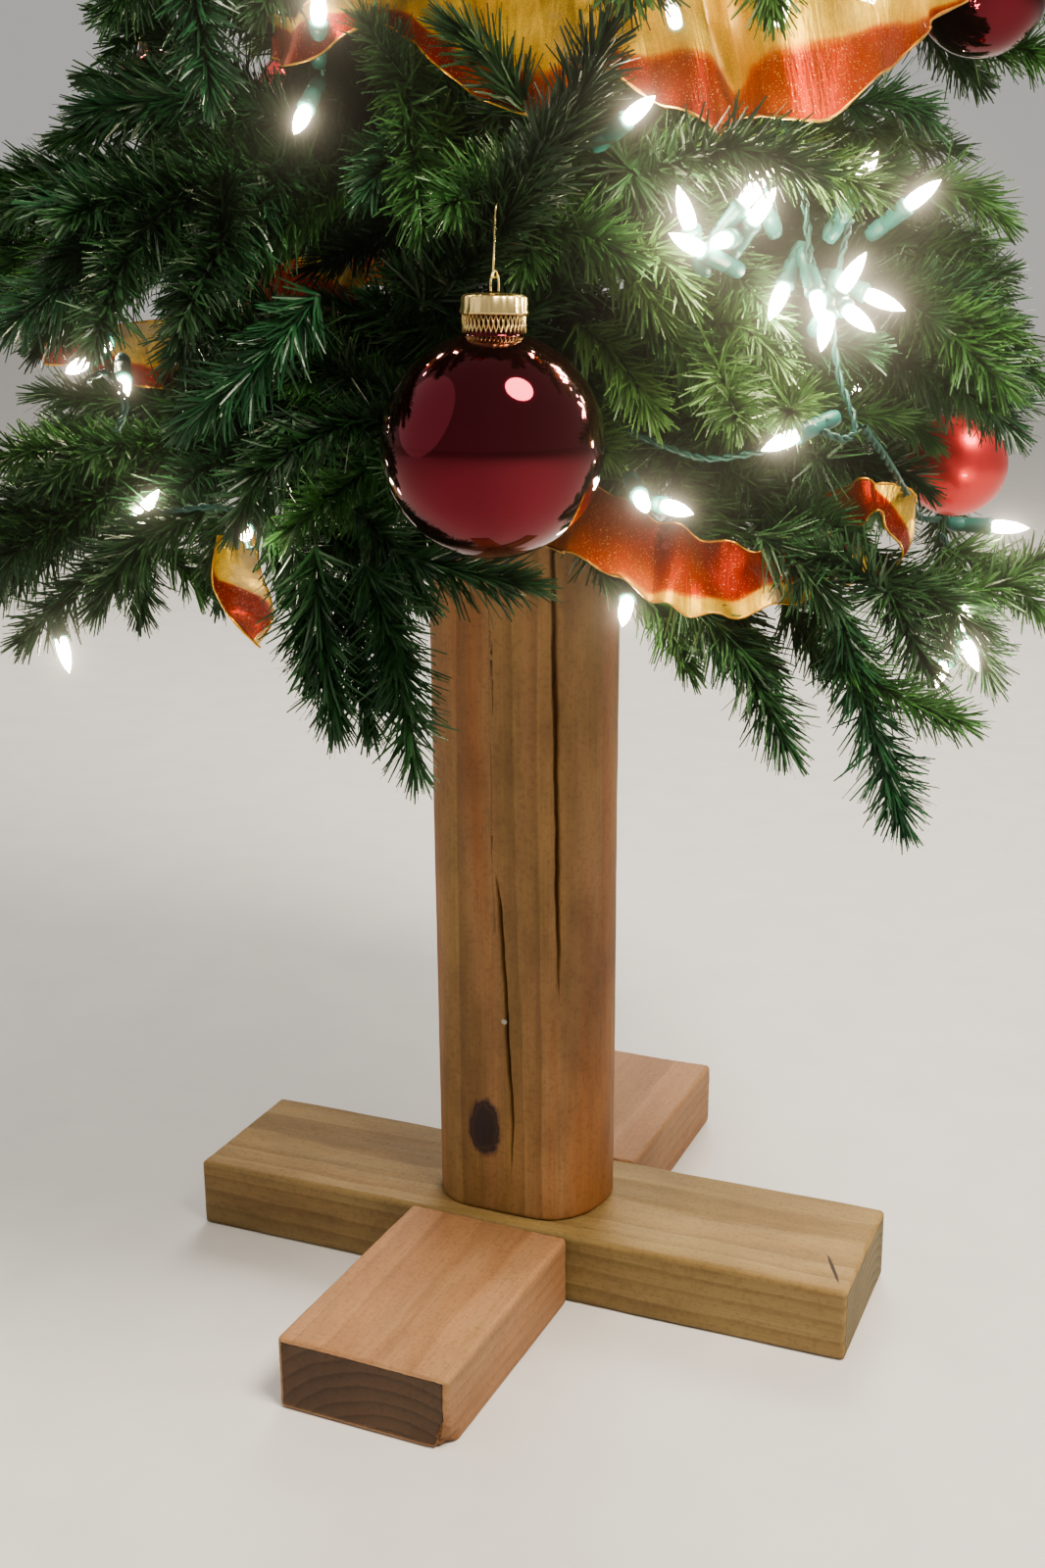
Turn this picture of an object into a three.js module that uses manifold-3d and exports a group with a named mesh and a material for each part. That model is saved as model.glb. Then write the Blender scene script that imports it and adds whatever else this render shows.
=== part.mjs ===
// A small artificial Christmas tree on a home-made timber stand, in millimetres, +Z up.
// A round-sided garden timber stands on a cross of 2x4 boards. The tree's steel pole is set in its top,
// and carries tiers of hinged wire boughs, each covered by one mass of needles.
// The pole's axis is the Z axis, and the boards' underside is z = 0.
import * as THREE from "three";
import { mergeVertices } from "three/addons/utils/BufferGeometryUtils.js";
import Module from "manifold-3d";

const wasm = await Module();
wasm.setup();

const GAP = 0.3; // between pieces that touch
const MASS_GAP = 0.5; // between masses of needles that touch, measured along their sections
const DEGREE = Math.PI / 180;

// The stand: one full board, and two short pieces butted to its sides
const BOARD = { width: 89, thickness: 38, edgeRadius: 3 };
const LONG_BOARD = { length: 362, centreX: 3.3 };
const FRONT_PIECE = { length: 136.5, centreX: -2.5, turn: -1.4 * DEGREE };
const REAR_PIECE = { length: 141, centreX: 1.9, turn: 0 };

// The post: flat in front and behind, round at the sides, a little thicker at its top
const POST = {
  halfWidth: 46.5,
  halfDepth: 36,
  flatHalfWidth: 18,
  height: 380,
  topGrowth: 0.03,
  arcSegments: 9,
};
const POST_TOP = BOARD.thickness + POST.height;
const SOCKET_DEPTH = 90; // of the hole in the post's top that holds the pole

// The pole: two sizes of steel tube, the upper one set in the lower, with a moulded ring for each tier
const POLE = {
  lowerRadius: 11,
  upperRadius: 8,
  jointHeight: 885,
  jointTaper: 12,
  topHeight: 1350,
  segments: 12,
};
const RING = { radius: 22, height: 16, depth: 7 }; // depth: how far inside the ring a bough starts

// The crown: each tier has a ring height, a number of boughs, the azimuth of its first one, its boughs'
// reach from the pole's axis, and how far their tips end above or below the ring
const TIERS = [
  { height: 430, boughs: 7, azimuth: -80, reach: 285, tipLift: -34 },
  { height: 535, boughs: 7, azimuth: -54.3, reach: 274, tipLift: -28 },
  { height: 640, boughs: 6, azimuth: 20, reach: 250, tipLift: -20 },
  { height: 742, boughs: 6, azimuth: 50, reach: 223, tipLift: -10 },
  { height: 840, boughs: 5, azimuth: 12, reach: 196, tipLift: 2 },
  { height: 935, boughs: 5, azimuth: 48, reach: 168, tipLift: 14 },
  { height: 1028, boughs: 4, azimuth: 15, reach: 140, tipLift: 26 },
  { height: 1120, boughs: 3, azimuth: 75, reach: 116, tipLift: 32 },
  { height: 1208, boughs: 3, azimuth: 15, reach: 92, tipLift: 38 },
];
const REACH_SPREAD = 0.05;
const ARCH = 40; // how far the longest boughs' middle stands above the line from root to tip

// Boughs that the photograph shows shorter, longer, flatter or more bent down than their tier
const CHANGES = {
  foliage_1_7: { tipLift: -54 },
  foliage_2_2: { reach: 246, tipLift: -64, arch: 16 },
  foliage_3_1: { reach: 268, tipLift: -44 },
};

// A mass of needles: the half sizes of the longest boughs' masses, and how they thin out to the others
const MASS = { halfHeight: 76, halfWidth: 92, thinning: 0.22 };
const LUMP = { rings: 6, sides: 8, roughness: 0.26, fullness: 0.4, bulk: 1.1 };

// The leader: the upright mass that the pole ends in
const LEADER = { foot: 1262, tip: 1500, radius: 40, taper: 0.45 };

// Tips that hang below the lowest tier: root in a bough's mass, end and radius
const HANGING_TIPS = {
  tip_hanging_1: { root: [28, -200, 420], end: [30, -204, 316], radius: 25 },
  tip_hanging_2: { root: [12, -212, 420], end: [4, -216, 338], radius: 20 },
  tip_hanging_3: { root: [154, -136, 425], end: [160, -150, 328], radius: 22 },
  tip_hanging_4: { root: [190, -78, 425], end: [197, -82, 286], radius: 26 },
  tip_hanging_5: { root: [206, -70, 425], end: [222, -64, 326], radius: 22 },
};
const TIP = { rings: 5, sides: 8, roughness: 0.15, fullness: 0.45, bulk: 1 };

const wood = (color) => new THREE.MeshStandardMaterial({ color, roughness: 0.75, metalness: 0 });
const LONG_WOOD = wood(0xb39a63);
const PINK_WOOD = wood(0xb98d67);
const POST_WOOD = wood(0xa5713d);
const GREEN_PAINT = new THREE.MeshStandardMaterial({ color: 0x1d3a22, roughness: 0.45, metalness: 0.4 });
const NEEDLES = new THREE.MeshStandardMaterial({ color: 0x1f5a2a, roughness: 0.7, metalness: 0 });

// A repeatable stream of numbers from 0 to 1
function stream(seed) {
  let state = seed >>> 0;
  return () => {
    state = (state + 0x6d2b79f5) >>> 0;
    let t = Math.imul(state ^ (state >>> 15), state | 1);
    t ^= t + Math.imul(t ^ (t >>> 7), t | 61);
    return ((t ^ (t >>> 14)) >>> 0) / 4294967296;
  };
}

function solidOf(geometry) {
  const bare = geometry.clone();
  bare.deleteAttribute("normal");
  bare.deleteAttribute("uv");
  const merged = mergeVertices(bare, 1e-4);
  return new wasm.Manifold(
    new wasm.Mesh({
      numProp: 3,
      vertProperties: merged.attributes.position.array,
      triVerts: new Uint32Array(merged.index.array),
    }),
  );
}

function geometryOf(solid) {
  const { vertProperties, triVerts, numProp, numVert } = solid.getMesh();
  const points = new Float32Array(numVert * 3);
  for (let i = 0; i < numVert; i++) {
    points.set(vertProperties.subarray(i * numProp, i * numProp + 3), i * 3);
  }
  return new THREE.BufferGeometry()
    .setAttribute("position", new THREE.BufferAttribute(points, 3))
    .setIndex(new THREE.BufferAttribute(triVerts, 1));
}

const largestPiece = (solid) => solid.decompose().sort((a, b) => b.volume() - a.volume())[0];

function cylinder(radius, bottom, top, segments) {
  const geometry = new THREE.CylinderGeometry(radius, radius, top - bottom, segments);
  return geometry.rotateX(Math.PI / 2).translate(0, 0, (bottom + top) / 2);
}

// A board lying flat, with eased long edges, its length along Y from 0
function boardGeometry(length) {
  const { width, thickness, edgeRadius: r } = BOARD;
  const w = width / 2;
  const outline = new THREE.Shape();
  outline.moveTo(-w + r, 0);
  outline.lineTo(w - r, 0);
  outline.absarc(w - r, r, r, -Math.PI / 2, 0);
  outline.lineTo(w, thickness - r);
  outline.absarc(w - r, thickness - r, r, 0, Math.PI / 2);
  outline.lineTo(-w + r, thickness);
  outline.absarc(-w + r, thickness - r, r, Math.PI / 2, Math.PI);
  outline.lineTo(-w, r);
  outline.absarc(-w + r, r, r, Math.PI, Math.PI * 1.5);
  const options = { depth: length, bevelEnabled: false, curveSegments: 3 };
  const geometry = new THREE.ExtrudeGeometry(outline, options);
  return geometry.rotateX(Math.PI / 2).translate(0, length, 0);
}

function longBoard() {
  const { length, centreX } = LONG_BOARD;
  return boardGeometry(length).rotateZ(-Math.PI / 2).translate(centreX - length / 2, 0, 0);
}

// A short piece that runs from the long board's side outwards; its inner end is cut to that side
function shortPiece({ length, centreX, turn }, side) {
  const inside = 20; // how far the uncut piece reaches under the long board
  const start = BOARD.width / 2 - inside;
  const blank = boardGeometry(length + inside).translate(0, start, 0);
  if (side < 0) blank.rotateZ(Math.PI);
  blank.rotateZ(turn).translate(centreX, 0, 0);
  const cutter = new THREE.BoxGeometry(LONG_BOARD.length * 2, BOARD.width + 2 * GAP, BOARD.thickness * 3);
  return geometryOf(solidOf(blank).subtract(solidOf(cutter)));
}

// The whole post without its hole, slightly grown on all sides if asked
function postBlank(grow = 0) {
  const { halfWidth, halfDepth, flatHalfWidth: flat, height, topGrowth, arcSegments } = POST;
  const depth = halfDepth + grow;
  const round = halfWidth - flat + grow;
  const outline = new THREE.Shape();
  outline.moveTo(-flat, -depth);
  outline.lineTo(flat, -depth);
  outline.absellipse(flat, 0, round, depth, -Math.PI / 2, Math.PI / 2);
  outline.lineTo(-flat, depth);
  outline.absellipse(-flat, 0, round, depth, Math.PI / 2, Math.PI * 1.5);
  const options = { depth: height + grow, bevelEnabled: false, curveSegments: arcSegments };
  const geometry = new THREE.ExtrudeGeometry(outline, options);
  const position = geometry.getAttribute("position");
  for (let i = 0; i < position.count; i++) {
    const wider = 1 + (topGrowth * position.getZ(i)) / height;
    position.setXY(i, position.getX(i) * wider, position.getY(i) * wider);
  }
  return geometry.translate(0, 0, BOARD.thickness);
}

function postGeometry() {
  const socket = cylinder(POLE.lowerRadius + GAP, POST_TOP - SOCKET_DEPTH, POST_TOP + 1, POLE.segments);
  return geometryOf(solidOf(postBlank()).subtract(solidOf(socket)));
}

// The pole with its rings, slightly grown on all sides if asked
function poleGeometry(grow = 0) {
  const { jointHeight, jointTaper, segments } = POLE;
  const lower = POLE.lowerRadius + grow;
  const upper = POLE.upperRadius + grow;
  const foot = POST_TOP - SOCKET_DEPTH - grow;
  const top = POLE.topHeight + grow;
  const corners = [[0, foot], [lower, foot], [lower, jointHeight], [upper, jointHeight + jointTaper]];
  corners.push([upper, top], [0, top]);
  TIERS.forEach(({ height }) => {
    const tube = height < jointHeight ? lower : upper;
    const low = height - RING.height / 2 - grow;
    const high = height + RING.height / 2 + grow;
    const outer = RING.radius + grow;
    const place = corners.findIndex(([, z]) => z > high);
    corners.splice(place, 0, [tube, low], [outer, low], [outer, high], [tube, high]);
  });
  const profile = corners.map(([radius, z]) => new THREE.Vector2(radius, z));
  return new THREE.LatheGeometry(profile, segments).rotateX(Math.PI / 2);
}

// A closed uneven solid round a centre line. place(s) gives the centre at share s of the length, two
// directions across it, and the half sizes along them as functions of how far the end is rounded in.
// The solid can be asked for slightly grown on all sides.
function lump(place, { rings, sides, roughness, fullness, bulk }, seed, grow = 0) {
  const random = stream(seed);
  const first = place(0).centre;
  const last = place(1).centre;
  const outward = last.clone().sub(first).setLength(grow);
  const points = [first.clone().sub(outward)];
  for (let i = 1; i <= rings; i++) {
    const s = i / (rings + 1);
    const { centre, across, up, halfAcross, halfUp } = place(s);
    const round = Math.sin(Math.PI * s ** bulk) ** fullness;
    for (let k = 0; k < sides; k++) {
      const angle = (2 * Math.PI * k) / sides;
      const uneven = 1 - roughness * random();
      const a = Math.cos(angle) * (halfAcross(round) * uneven + grow);
      const b = Math.sin(angle) * (halfUp(round) * uneven + grow);
      points.push(centre.clone().addScaledVector(across, a).addScaledVector(up, b));
    }
  }
  points.push(last.clone().add(outward));
  const end = points.length - 1;
  const at = (i, k) => 1 + i * sides + (k % sides);
  const faces = [];
  for (let k = 0; k < sides; k++) {
    faces.push(0, at(0, k + 1), at(0, k));
    faces.push(end, at(rings - 1, k), at(rings - 1, k + 1));
    for (let i = 0; i < rings - 1; i++) {
      faces.push(at(i, k), at(i, k + 1), at(i + 1, k));
      faces.push(at(i + 1, k), at(i, k + 1), at(i + 1, k + 1));
    }
  }
  return new THREE.BufferGeometry().setFromPoints(points).setIndex(faces);
}

// One bough's needles: from inside the ring outwards over an arched line, inside its own share of the tier
function boughMass(tier, index, name, seed, grow = 0) {
  const azimuth = (tier.azimuth + (360 / tier.boughs) * index) * DEGREE;
  const outward = new THREE.Vector3(Math.cos(azimuth), Math.sin(azimuth), 0);
  const across = new THREE.Vector3(-Math.sin(azimuth), Math.cos(azimuth), 0);
  const up = new THREE.Vector3(0, 0, 1);
  const spread = 1 + REACH_SPREAD * (2 * stream(seed * 7)() - 1);
  const size = tier.reach / TIERS[0].reach;
  const plain = { reach: tier.reach * spread, tipLift: tier.tipLift, arch: ARCH * size };
  const { reach, tipLift, arch } = { ...plain, ...CHANGES[name] };
  const root = RING.radius - RING.depth;
  const length = reach - root;
  const thin = 1 - MASS.thinning * (1 - size);
  const sectorHalf = Math.sin(Math.PI / tier.boughs);
  const place = (s) => {
    const radius = root + length * s;
    const lift = tipLift * s + arch * 4 * s * (1 - s);
    return {
      centre: outward.clone().multiplyScalar(radius).setZ(tier.height + lift),
      across,
      up,
      halfAcross: (round) => Math.min(MASS.halfWidth * thin * round, radius * sectorHalf - 2 * GAP),
      halfUp: (round) => MASS.halfHeight * thin * round,
    };
  };
  return lump(place, LUMP, seed, grow);
}

// The needles of a tip that hangs down, along a straight line
function tipMass({ root, end, radius }, seed, grow = 0) {
  const from = new THREE.Vector3(...root);
  const along = new THREE.Vector3(...end).sub(from);
  const across = new THREE.Vector3(0, 0, 1).cross(along).normalize();
  const up = along.clone().cross(across).normalize();
  const half = (round) => radius * round;
  const place = (s) => ({
    centre: from.clone().addScaledVector(along, s),
    across,
    up,
    halfAcross: half,
    halfUp: half,
  });
  return lump(place, TIP, seed, grow);
}

function leaderMass(seed, grow = 0) {
  const { foot, tip, radius, taper } = LEADER;
  const place = (s) => ({
    centre: new THREE.Vector3(0, 0, foot + (tip - foot) * s),
    across: new THREE.Vector3(1, 0, 0),
    up: new THREE.Vector3(0, 1, 0),
    halfAcross: (round) => radius * (1 - taper * s) * round,
    halfUp: (round) => radius * (1 - taper * s) * round,
  });
  return lump(place, LUMP, seed, grow);
}

const tree = new THREE.Group();

function add(name, geometry, material) {
  const mesh = new THREE.Mesh(geometry, material);
  mesh.name = name;
  tree.add(mesh);
}

add("stand_board_long", longBoard(), LONG_WOOD);
add("stand_board_front", shortPiece(FRONT_PIECE, -1), PINK_WOOD);
add("stand_board_rear", shortPiece(REAR_PIECE, 1), PINK_WOOD);
add("stand_post", postGeometry(), POST_WOOD);
add("trunk_pole", poleGeometry(), GREEN_PAINT);

// Each mass is cut back where it would run into one that is already there
const taken = [solidOf(poleGeometry(GAP)), solidOf(postBlank(GAP))];

function addMass(name, make) {
  const cut = taken.reduce((solid, other) => solid.subtract(other), solidOf(make(0)));
  add(name, geometryOf(largestPiece(cut)), NEEDLES);
  taken.push(solidOf(make(MASS_GAP)));
}

TIERS.forEach((tier, t) => {
  for (let b = 0; b < tier.boughs; b++) {
    const name = `foliage_${t + 1}_${b + 1}`;
    addMass(name, (grow) => boughMass(tier, b, name, (t + 1) * 100 + b, grow));
  }
});
addMass("foliage_leader", (grow) => leaderMass(901, grow));
Object.entries(HANGING_TIPS).forEach(([name, tip], i) => {
  addMass(name, (grow) => tipMass(tip, 950 + i, grow));
});

export default tree;
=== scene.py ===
"""A small artificial Christmas tree on a home-made timber stand, with its ornaments, ribbon and lights.

Everything is in metres in the row frame: the pole is the Z axis, the boards stand on z = 0, and +X runs
along the long board. Sizes below are in millimetres, and MM turns them into metres. A place in the photograph
is its pixel x and y, with a distance in millimetres before the pole, towards the camera.
"""

import math

import bpy
import numpy as np
from mathutils import Matrix, Vector


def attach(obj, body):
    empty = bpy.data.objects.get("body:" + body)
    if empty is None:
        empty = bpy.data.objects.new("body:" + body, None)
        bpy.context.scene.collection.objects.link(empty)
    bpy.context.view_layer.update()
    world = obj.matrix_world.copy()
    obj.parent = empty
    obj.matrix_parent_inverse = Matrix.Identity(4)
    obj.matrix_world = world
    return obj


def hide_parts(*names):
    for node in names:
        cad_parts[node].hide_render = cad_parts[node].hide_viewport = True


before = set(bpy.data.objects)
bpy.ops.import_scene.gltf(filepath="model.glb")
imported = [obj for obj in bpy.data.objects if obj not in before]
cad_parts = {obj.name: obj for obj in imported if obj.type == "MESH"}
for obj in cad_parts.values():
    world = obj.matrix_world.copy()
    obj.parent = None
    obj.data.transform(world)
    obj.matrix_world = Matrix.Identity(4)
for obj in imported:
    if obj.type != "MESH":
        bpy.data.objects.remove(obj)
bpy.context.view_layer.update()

MM = 0.001
CIRCLE = 2 * math.pi
SEED = 41
rng = np.random.default_rng(SEED)
Z = np.array([0.0, 0.0, 1.0])

# Camera: the photograph's place, direction and lens
PHOTO_SIZE = (1066, 1600)
FOCAL_PX = 1835.25
SENSOR_WIDTH = 36.0
CAMERA_PLACE = np.array([339.47, -812.00, 501.87]) * MM
CAMERA_RIGHT = np.array([0.9224926, 0.3859768, -0.0054169])
CAMERA_DOWN = np.array([0.0969496, -0.2452490, -0.9646003])
CAMERA_FORWARD = np.array([-0.3736418, 0.8893114, -0.2636607])
LEVEL = CAMERA_FORWARD * (1, 1, 0) / np.linalg.norm(CAMERA_FORWARD[:2])


def add_object(name, data):
    made = bpy.data.objects.new(name, data)
    bpy.context.scene.collection.objects.link(made)
    return made


def make_camera():
    data = bpy.data.cameras.new("camera")
    data.sensor_width = SENSOR_WIDTH
    data.lens = SENSOR_WIDTH * FOCAL_PX / max(PHOTO_SIZE)
    data.clip_start = 10 * MM
    camera = add_object("camera", data)
    axes = Matrix([CAMERA_RIGHT, -CAMERA_DOWN, -CAMERA_FORWARD]).transposed().to_4x4()
    camera.matrix_world = Matrix.Translation(CAMERA_PLACE) @ axes
    bpy.context.scene.camera = camera


make_camera()


def seen(x, y, toward=0.0):
    """The point that the photograph shows at a pixel, on the upright plane that faces the camera and stands
    `toward` millimetres before the pole."""
    across = (x - PHOTO_SIZE[0] / 2) / FOCAL_PX
    below = (y - PHOTO_SIZE[1] / 2) / FOCAL_PX
    ray = CAMERA_FORWARD + across * CAMERA_RIGHT + below * CAMERA_DOWN
    reach = (-toward * MM - CAMERA_PLACE @ LEVEL) / (ray @ LEVEL)
    return CAMERA_PLACE + reach * ray


def pixels(points):
    """Pixels x and y of an array of points in the photograph."""
    away = np.asarray(points) - CAMERA_PLACE
    depth = away @ CAMERA_FORWARD
    x = PHOTO_SIZE[0] / 2 + FOCAL_PX * (away @ CAMERA_RIGHT) / depth
    y = PHOTO_SIZE[1] / 2 + FOCAL_PX * (away @ CAMERA_DOWN) / depth
    return x, y


def unit(v):
    v = np.asarray(v, float)
    return v / np.maximum(np.linalg.norm(v, axis=-1, keepdims=True), 1e-9)


# Materials

WHITE = (1.0, 1.0, 1.0)
RIBBON_GLOW = (0.80, 0.30, 0.02, 1.0)


class Shade:
    """One material and the steps that make it up. Scales are features a metre."""

    def __init__(self, name, rough=0.5, metal=0.0):
        self.material = bpy.data.materials.new(name)
        self.material.use_nodes = True
        self.nodes = self.material.node_tree.nodes
        self.shader = self.nodes["Principled BSDF"]
        self.set(Roughness=rough, Metallic=metal)

    def feed(self, socket, value):
        """Sets an input to a number or colour, or links another node's output to it."""
        if isinstance(value, bpy.types.NodeSocket):
            self.material.node_tree.links.new(value, socket)
        else:
            socket.default_value = value

    def set(self, **values):
        """Inputs of the shader, with _ for the spaces in their names."""
        for key, value in values.items():
            self.feed(self.shader.inputs[key.replace("_", " ")], value)

    def node(self, kind, inputs=None, **settings):
        made = self.nodes.new(kind)
        for key, value in settings.items():
            setattr(made, key, value)
        for key, value in (inputs or {}).items():
            self.feed(made.inputs[key], value)
        return made

    def mapped(self, vector, **values):
        return self.node("ShaderNodeMapping", {"Vector": vector, **values}).outputs["Vector"]

    def coordinates(self, scale=(1, 1, 1), move=(0, 0, 0)):
        where = self.node("ShaderNodeTexCoord").outputs["Object"]
        return self.mapped(where, Scale=scale, Location=move)

    def noise(self, vector, scale, detail=3.0, rough=0.55, output="Fac"):
        values = {"Vector": vector, "Scale": scale, "Detail": detail, "Roughness": rough}
        return self.node("ShaderNodeTexNoise", values).outputs[output]

    def ramp(self, factor, *stops):
        made = self.node("ShaderNodeValToRGB", {"Fac": factor})
        elements = made.color_ramp.elements
        for _ in stops[2:]:
            elements.new(0.5)
        for element, (position, color) in zip(elements, stops):
            element.position = position
            element.color = (*color, 1.0)
        return made.outputs["Color"]

    def remap(self, factor, low, high, start=0.0, stop=1.0):
        values = {"Value": factor, "From Min": start, "From Max": stop, "To Min": low, "To Max": high}
        return self.node("ShaderNodeMapRange", values).outputs["Result"]

    def mix(self, factor, first, second, blend="MIX"):
        inputs = {"Factor": factor, 6: first, 7: second}  # 6 and 7 are its two colours
        return self.node("ShaderNodeMix", inputs, data_type="RGBA", blend_type=blend).outputs[2]

    def mix_shader(self, factor, first, second):
        return self.node("ShaderNodeMixShader", {"Fac": factor, 1: first, 2: second}).outputs[0]

    def tint(self, color, share, factor, *stops):
        """The colour multiplied by a ramp's colours, as far as share says."""
        return self.mix(share, color, self.ramp(factor, *stops), "MULTIPLY")

    def compute(self, operation, *values, kind="ShaderNodeMath"):
        return self.node(kind, dict(enumerate(values)), operation=operation).outputs[0]

    def split(self, vector, axis):
        return self.node("ShaderNodeSeparateXYZ", {0: vector}).outputs[axis]

    def bump(self, height, strength, distance):
        values = {"Height": height, "Strength": strength, "Distance": distance}
        self.set(Normal=self.node("ShaderNodeBump", values).outputs["Normal"])


def needle_material(tone, dark, light, rough):
    shade = Shade(f"needles_{tone}", rough)
    where = shade.coordinates()
    shade.set(Base_Color=shade.ramp(shade.noise(where, 90.0), (0.35, dark), (0.7, light)),
              Roughness=shade.remap(shade.noise(where, 400.0), rough - 0.1, rough + 0.15))
    shade.bump(shade.noise(where, 1500.0), 0.15, 0.0003)
    return shade.material


def ringed_wood(shade, axis, along, pith, tones, ring_scale, contrast, distort):
    """Rings round a pith line that runs along the axis, so that the sides show grain lines and the ends show
    arcs, over plainer wood."""
    where = shade.coordinates(along, [-p * a for p, a in zip(pith, along)])
    waves = {"Vector": where, "Scale": ring_scale, "Distortion": distort, "Detail": 2.0, "Detail Scale": 0.7}
    rings = shade.node("ShaderNodeTexWave", waves, wave_type="RINGS", rings_direction=axis,
                       wave_profile="SAW").outputs["Fac"]
    pale, mid, dark = tones
    ringed = shade.ramp(rings, (0.0, pale), (0.6, mid), (0.92, dark), (1.0, mid))
    plain = shade.ramp(shade.noise(where, 60.0), (0.3, mid), (0.7, pale))
    return shade.mix(contrast, plain, ringed)


def wood_material(name, axis, pith, tones, ring_scale, contrast, stain=0.5, distort=2.4, hue=0.25, mark=None,
                  sides=1.0):
    """Sawn pine. pith is its pith's place in metres, and tones are its pale, middle and dark wood. stain and
    hue say how far it is stained and discoloured, and sides is the share of the colour that a lying board's
    sides keep below its top, as painted shade: sides darker than the top, as under light from above."""
    shade = Shade(name, 0.62)
    along = [0.05 if letter == axis else 1.0 for letter in "XYZ"]
    color = ringed_wood(shade, axis, along, pith, tones, ring_scale, contrast, distort)
    fibre = shade.noise(shade.coordinates([18.0 if letter == axis else 1500.0 for letter in "XYZ"]), 1.0, 2.0)
    color = shade.tint(color, 0.55, fibre, (0.3, (0.66, 0.62, 0.56)), (0.7, WHITE))
    patches = shade.noise(shade.coordinates([9.0 + 13.0 * a for a in along]), 1.0, 5.0, 0.62)
    color = shade.tint(color, stain, patches, (0.34, (0.50, 0.44, 0.38)), (0.62, WHITE))
    broad = shade.noise(shade.coordinates([36.0 * a + 1.5 for a in along], (3.1, 1.7, 0.4)), 1.0, 3.0)
    color = shade.tint(color, hue, broad,
                       (0.36, (1.0, 0.72, 0.52)), (0.50, WHITE), (0.64, (0.80, 0.88, 0.66)))
    specks = shade.noise(shade.coordinates(), 420.0, 2.0, 0.7)
    color = shade.tint(color, 0.35, specks, (0.34, (0.55, 0.50, 0.45)), (0.5, WHITE))
    # Painted shade: a lying board's sides darker than its top, as under light from above
    if sides < 1.0:
        painted_side_shade = shade.remap(shade.split(shade.coordinates(), "Z"), sides, 1.0, 0.0346, 0.0372)
        color = shade.mix(1.0, color, painted_side_shade, "MULTIPLY")
    if mark:
        color = marked(shade, color, *mark)
    shade.set(Base_Color=color, Roughness=shade.remap(fibre, 0.5, 0.78))
    shade.bump(fibre, 0.3, 0.0005)
    return shade.material


def marked(shade, color, place, half_sizes, turn, ragged, edge, heart):
    """The colour with a knot or check at a place in metres, turned by degrees, with a ragged outline."""
    rotation = Matrix.Rotation(math.radians(-turn), 3, "Z")
    level = shade.mapped(shade.coordinates(), Location=-(rotation @ Vector(place)),
                         Rotation=(0, 0, math.radians(-turn)))
    shape = shade.mapped(level, Scale=[1 / h for h in half_sizes])
    wobble = shade.noise(shape, 1.7, 4.0, 0.6, "Color")
    centred = shade.compute("SUBTRACT", wobble, (0.5, 0.5, 0.5), kind="ShaderNodeVectorMath")
    moved = shade.compute("MULTIPLY_ADD", centred, [ragged] * 3, shape, kind="ShaderNodeVectorMath")
    inward = shade.node("ShaderNodeTexGradient", {"Vector": moved}, gradient_type="SPHERICAL").outputs["Fac"]
    between = [(a + 3 * b) / 4 for a, b in zip(edge, heart)]
    core = shade.ramp(inward, (0.05, edge), (0.26, heart), (0.38, between), (0.50, heart))
    return shade.mix(shade.remap(inward, 0.0, 1.0, 0.03, 0.26), color, core)


def flat_color(name, color, rough, metal=0.0, grain=900.0, depth=0.0002, spread=0.12, **more):
    """A made surface of one colour with fine unevenness in its gloss and relief. more sets other inputs."""
    shade = Shade(name, rough, metal)
    where = shade.coordinates()
    dark = [c * (1 - spread) for c in color]
    light = [min(1.0, c * (1 + spread)) for c in color]
    shade.set(Base_Color=shade.ramp(shade.noise(where, grain / 6), (0.3, dark), (0.7, light)),
              Roughness=shade.remap(shade.noise(where, grain / 3), rough * 0.8, rough * 1.25), **more)
    shade.bump(shade.noise(where, grain), 0.2, depth)
    return shade.material


def ribbon_color(shade, where, side, crinkle):
    """Gold to orange-red across the ribbon, with painted highlights and painted shade over its folds,
    crinkles darkened in their hollows by painted shade, and glitter.
    """
    color = shade.ramp(side, (0.0, (0.92, 0.620, 0.095)), (0.36, (0.90, 0.530, 0.060)),
                       (0.50, (0.60, 0.130, 0.006)), (0.64, (0.34, 0.020, 0.001)),
                       (1.0, (0.27, 0.009, 0.001)))
    fold_shine_and_shade = shade.noise(where, 42.0, 3.0)
    # Painted shade and painted highlights over the folds
    color = shade.tint(color, 1.0, fold_shine_and_shade,
                       (0.34, (0.76, 0.70, 0.62)), (0.52, WHITE), (0.70, (1.20, 1.25, 1.2)))
    # Painted shade in the crinkles' hollows
    color = shade.tint(color, 0.8, crinkle, (0.36, (0.80, 0.76, 0.72)), (0.62, WHITE))
    glitter = shade.remap(shade.noise(where, 1500.0, 1.0), 0.0, 0.40, 0.64, 0.70)
    return shade.mix(glitter, color, shade.ramp(fold_shine_and_shade, (0.0, (1.0, 0.60, 0.16)), (1.0, (1.0, 0.74, 0.32))))


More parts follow.
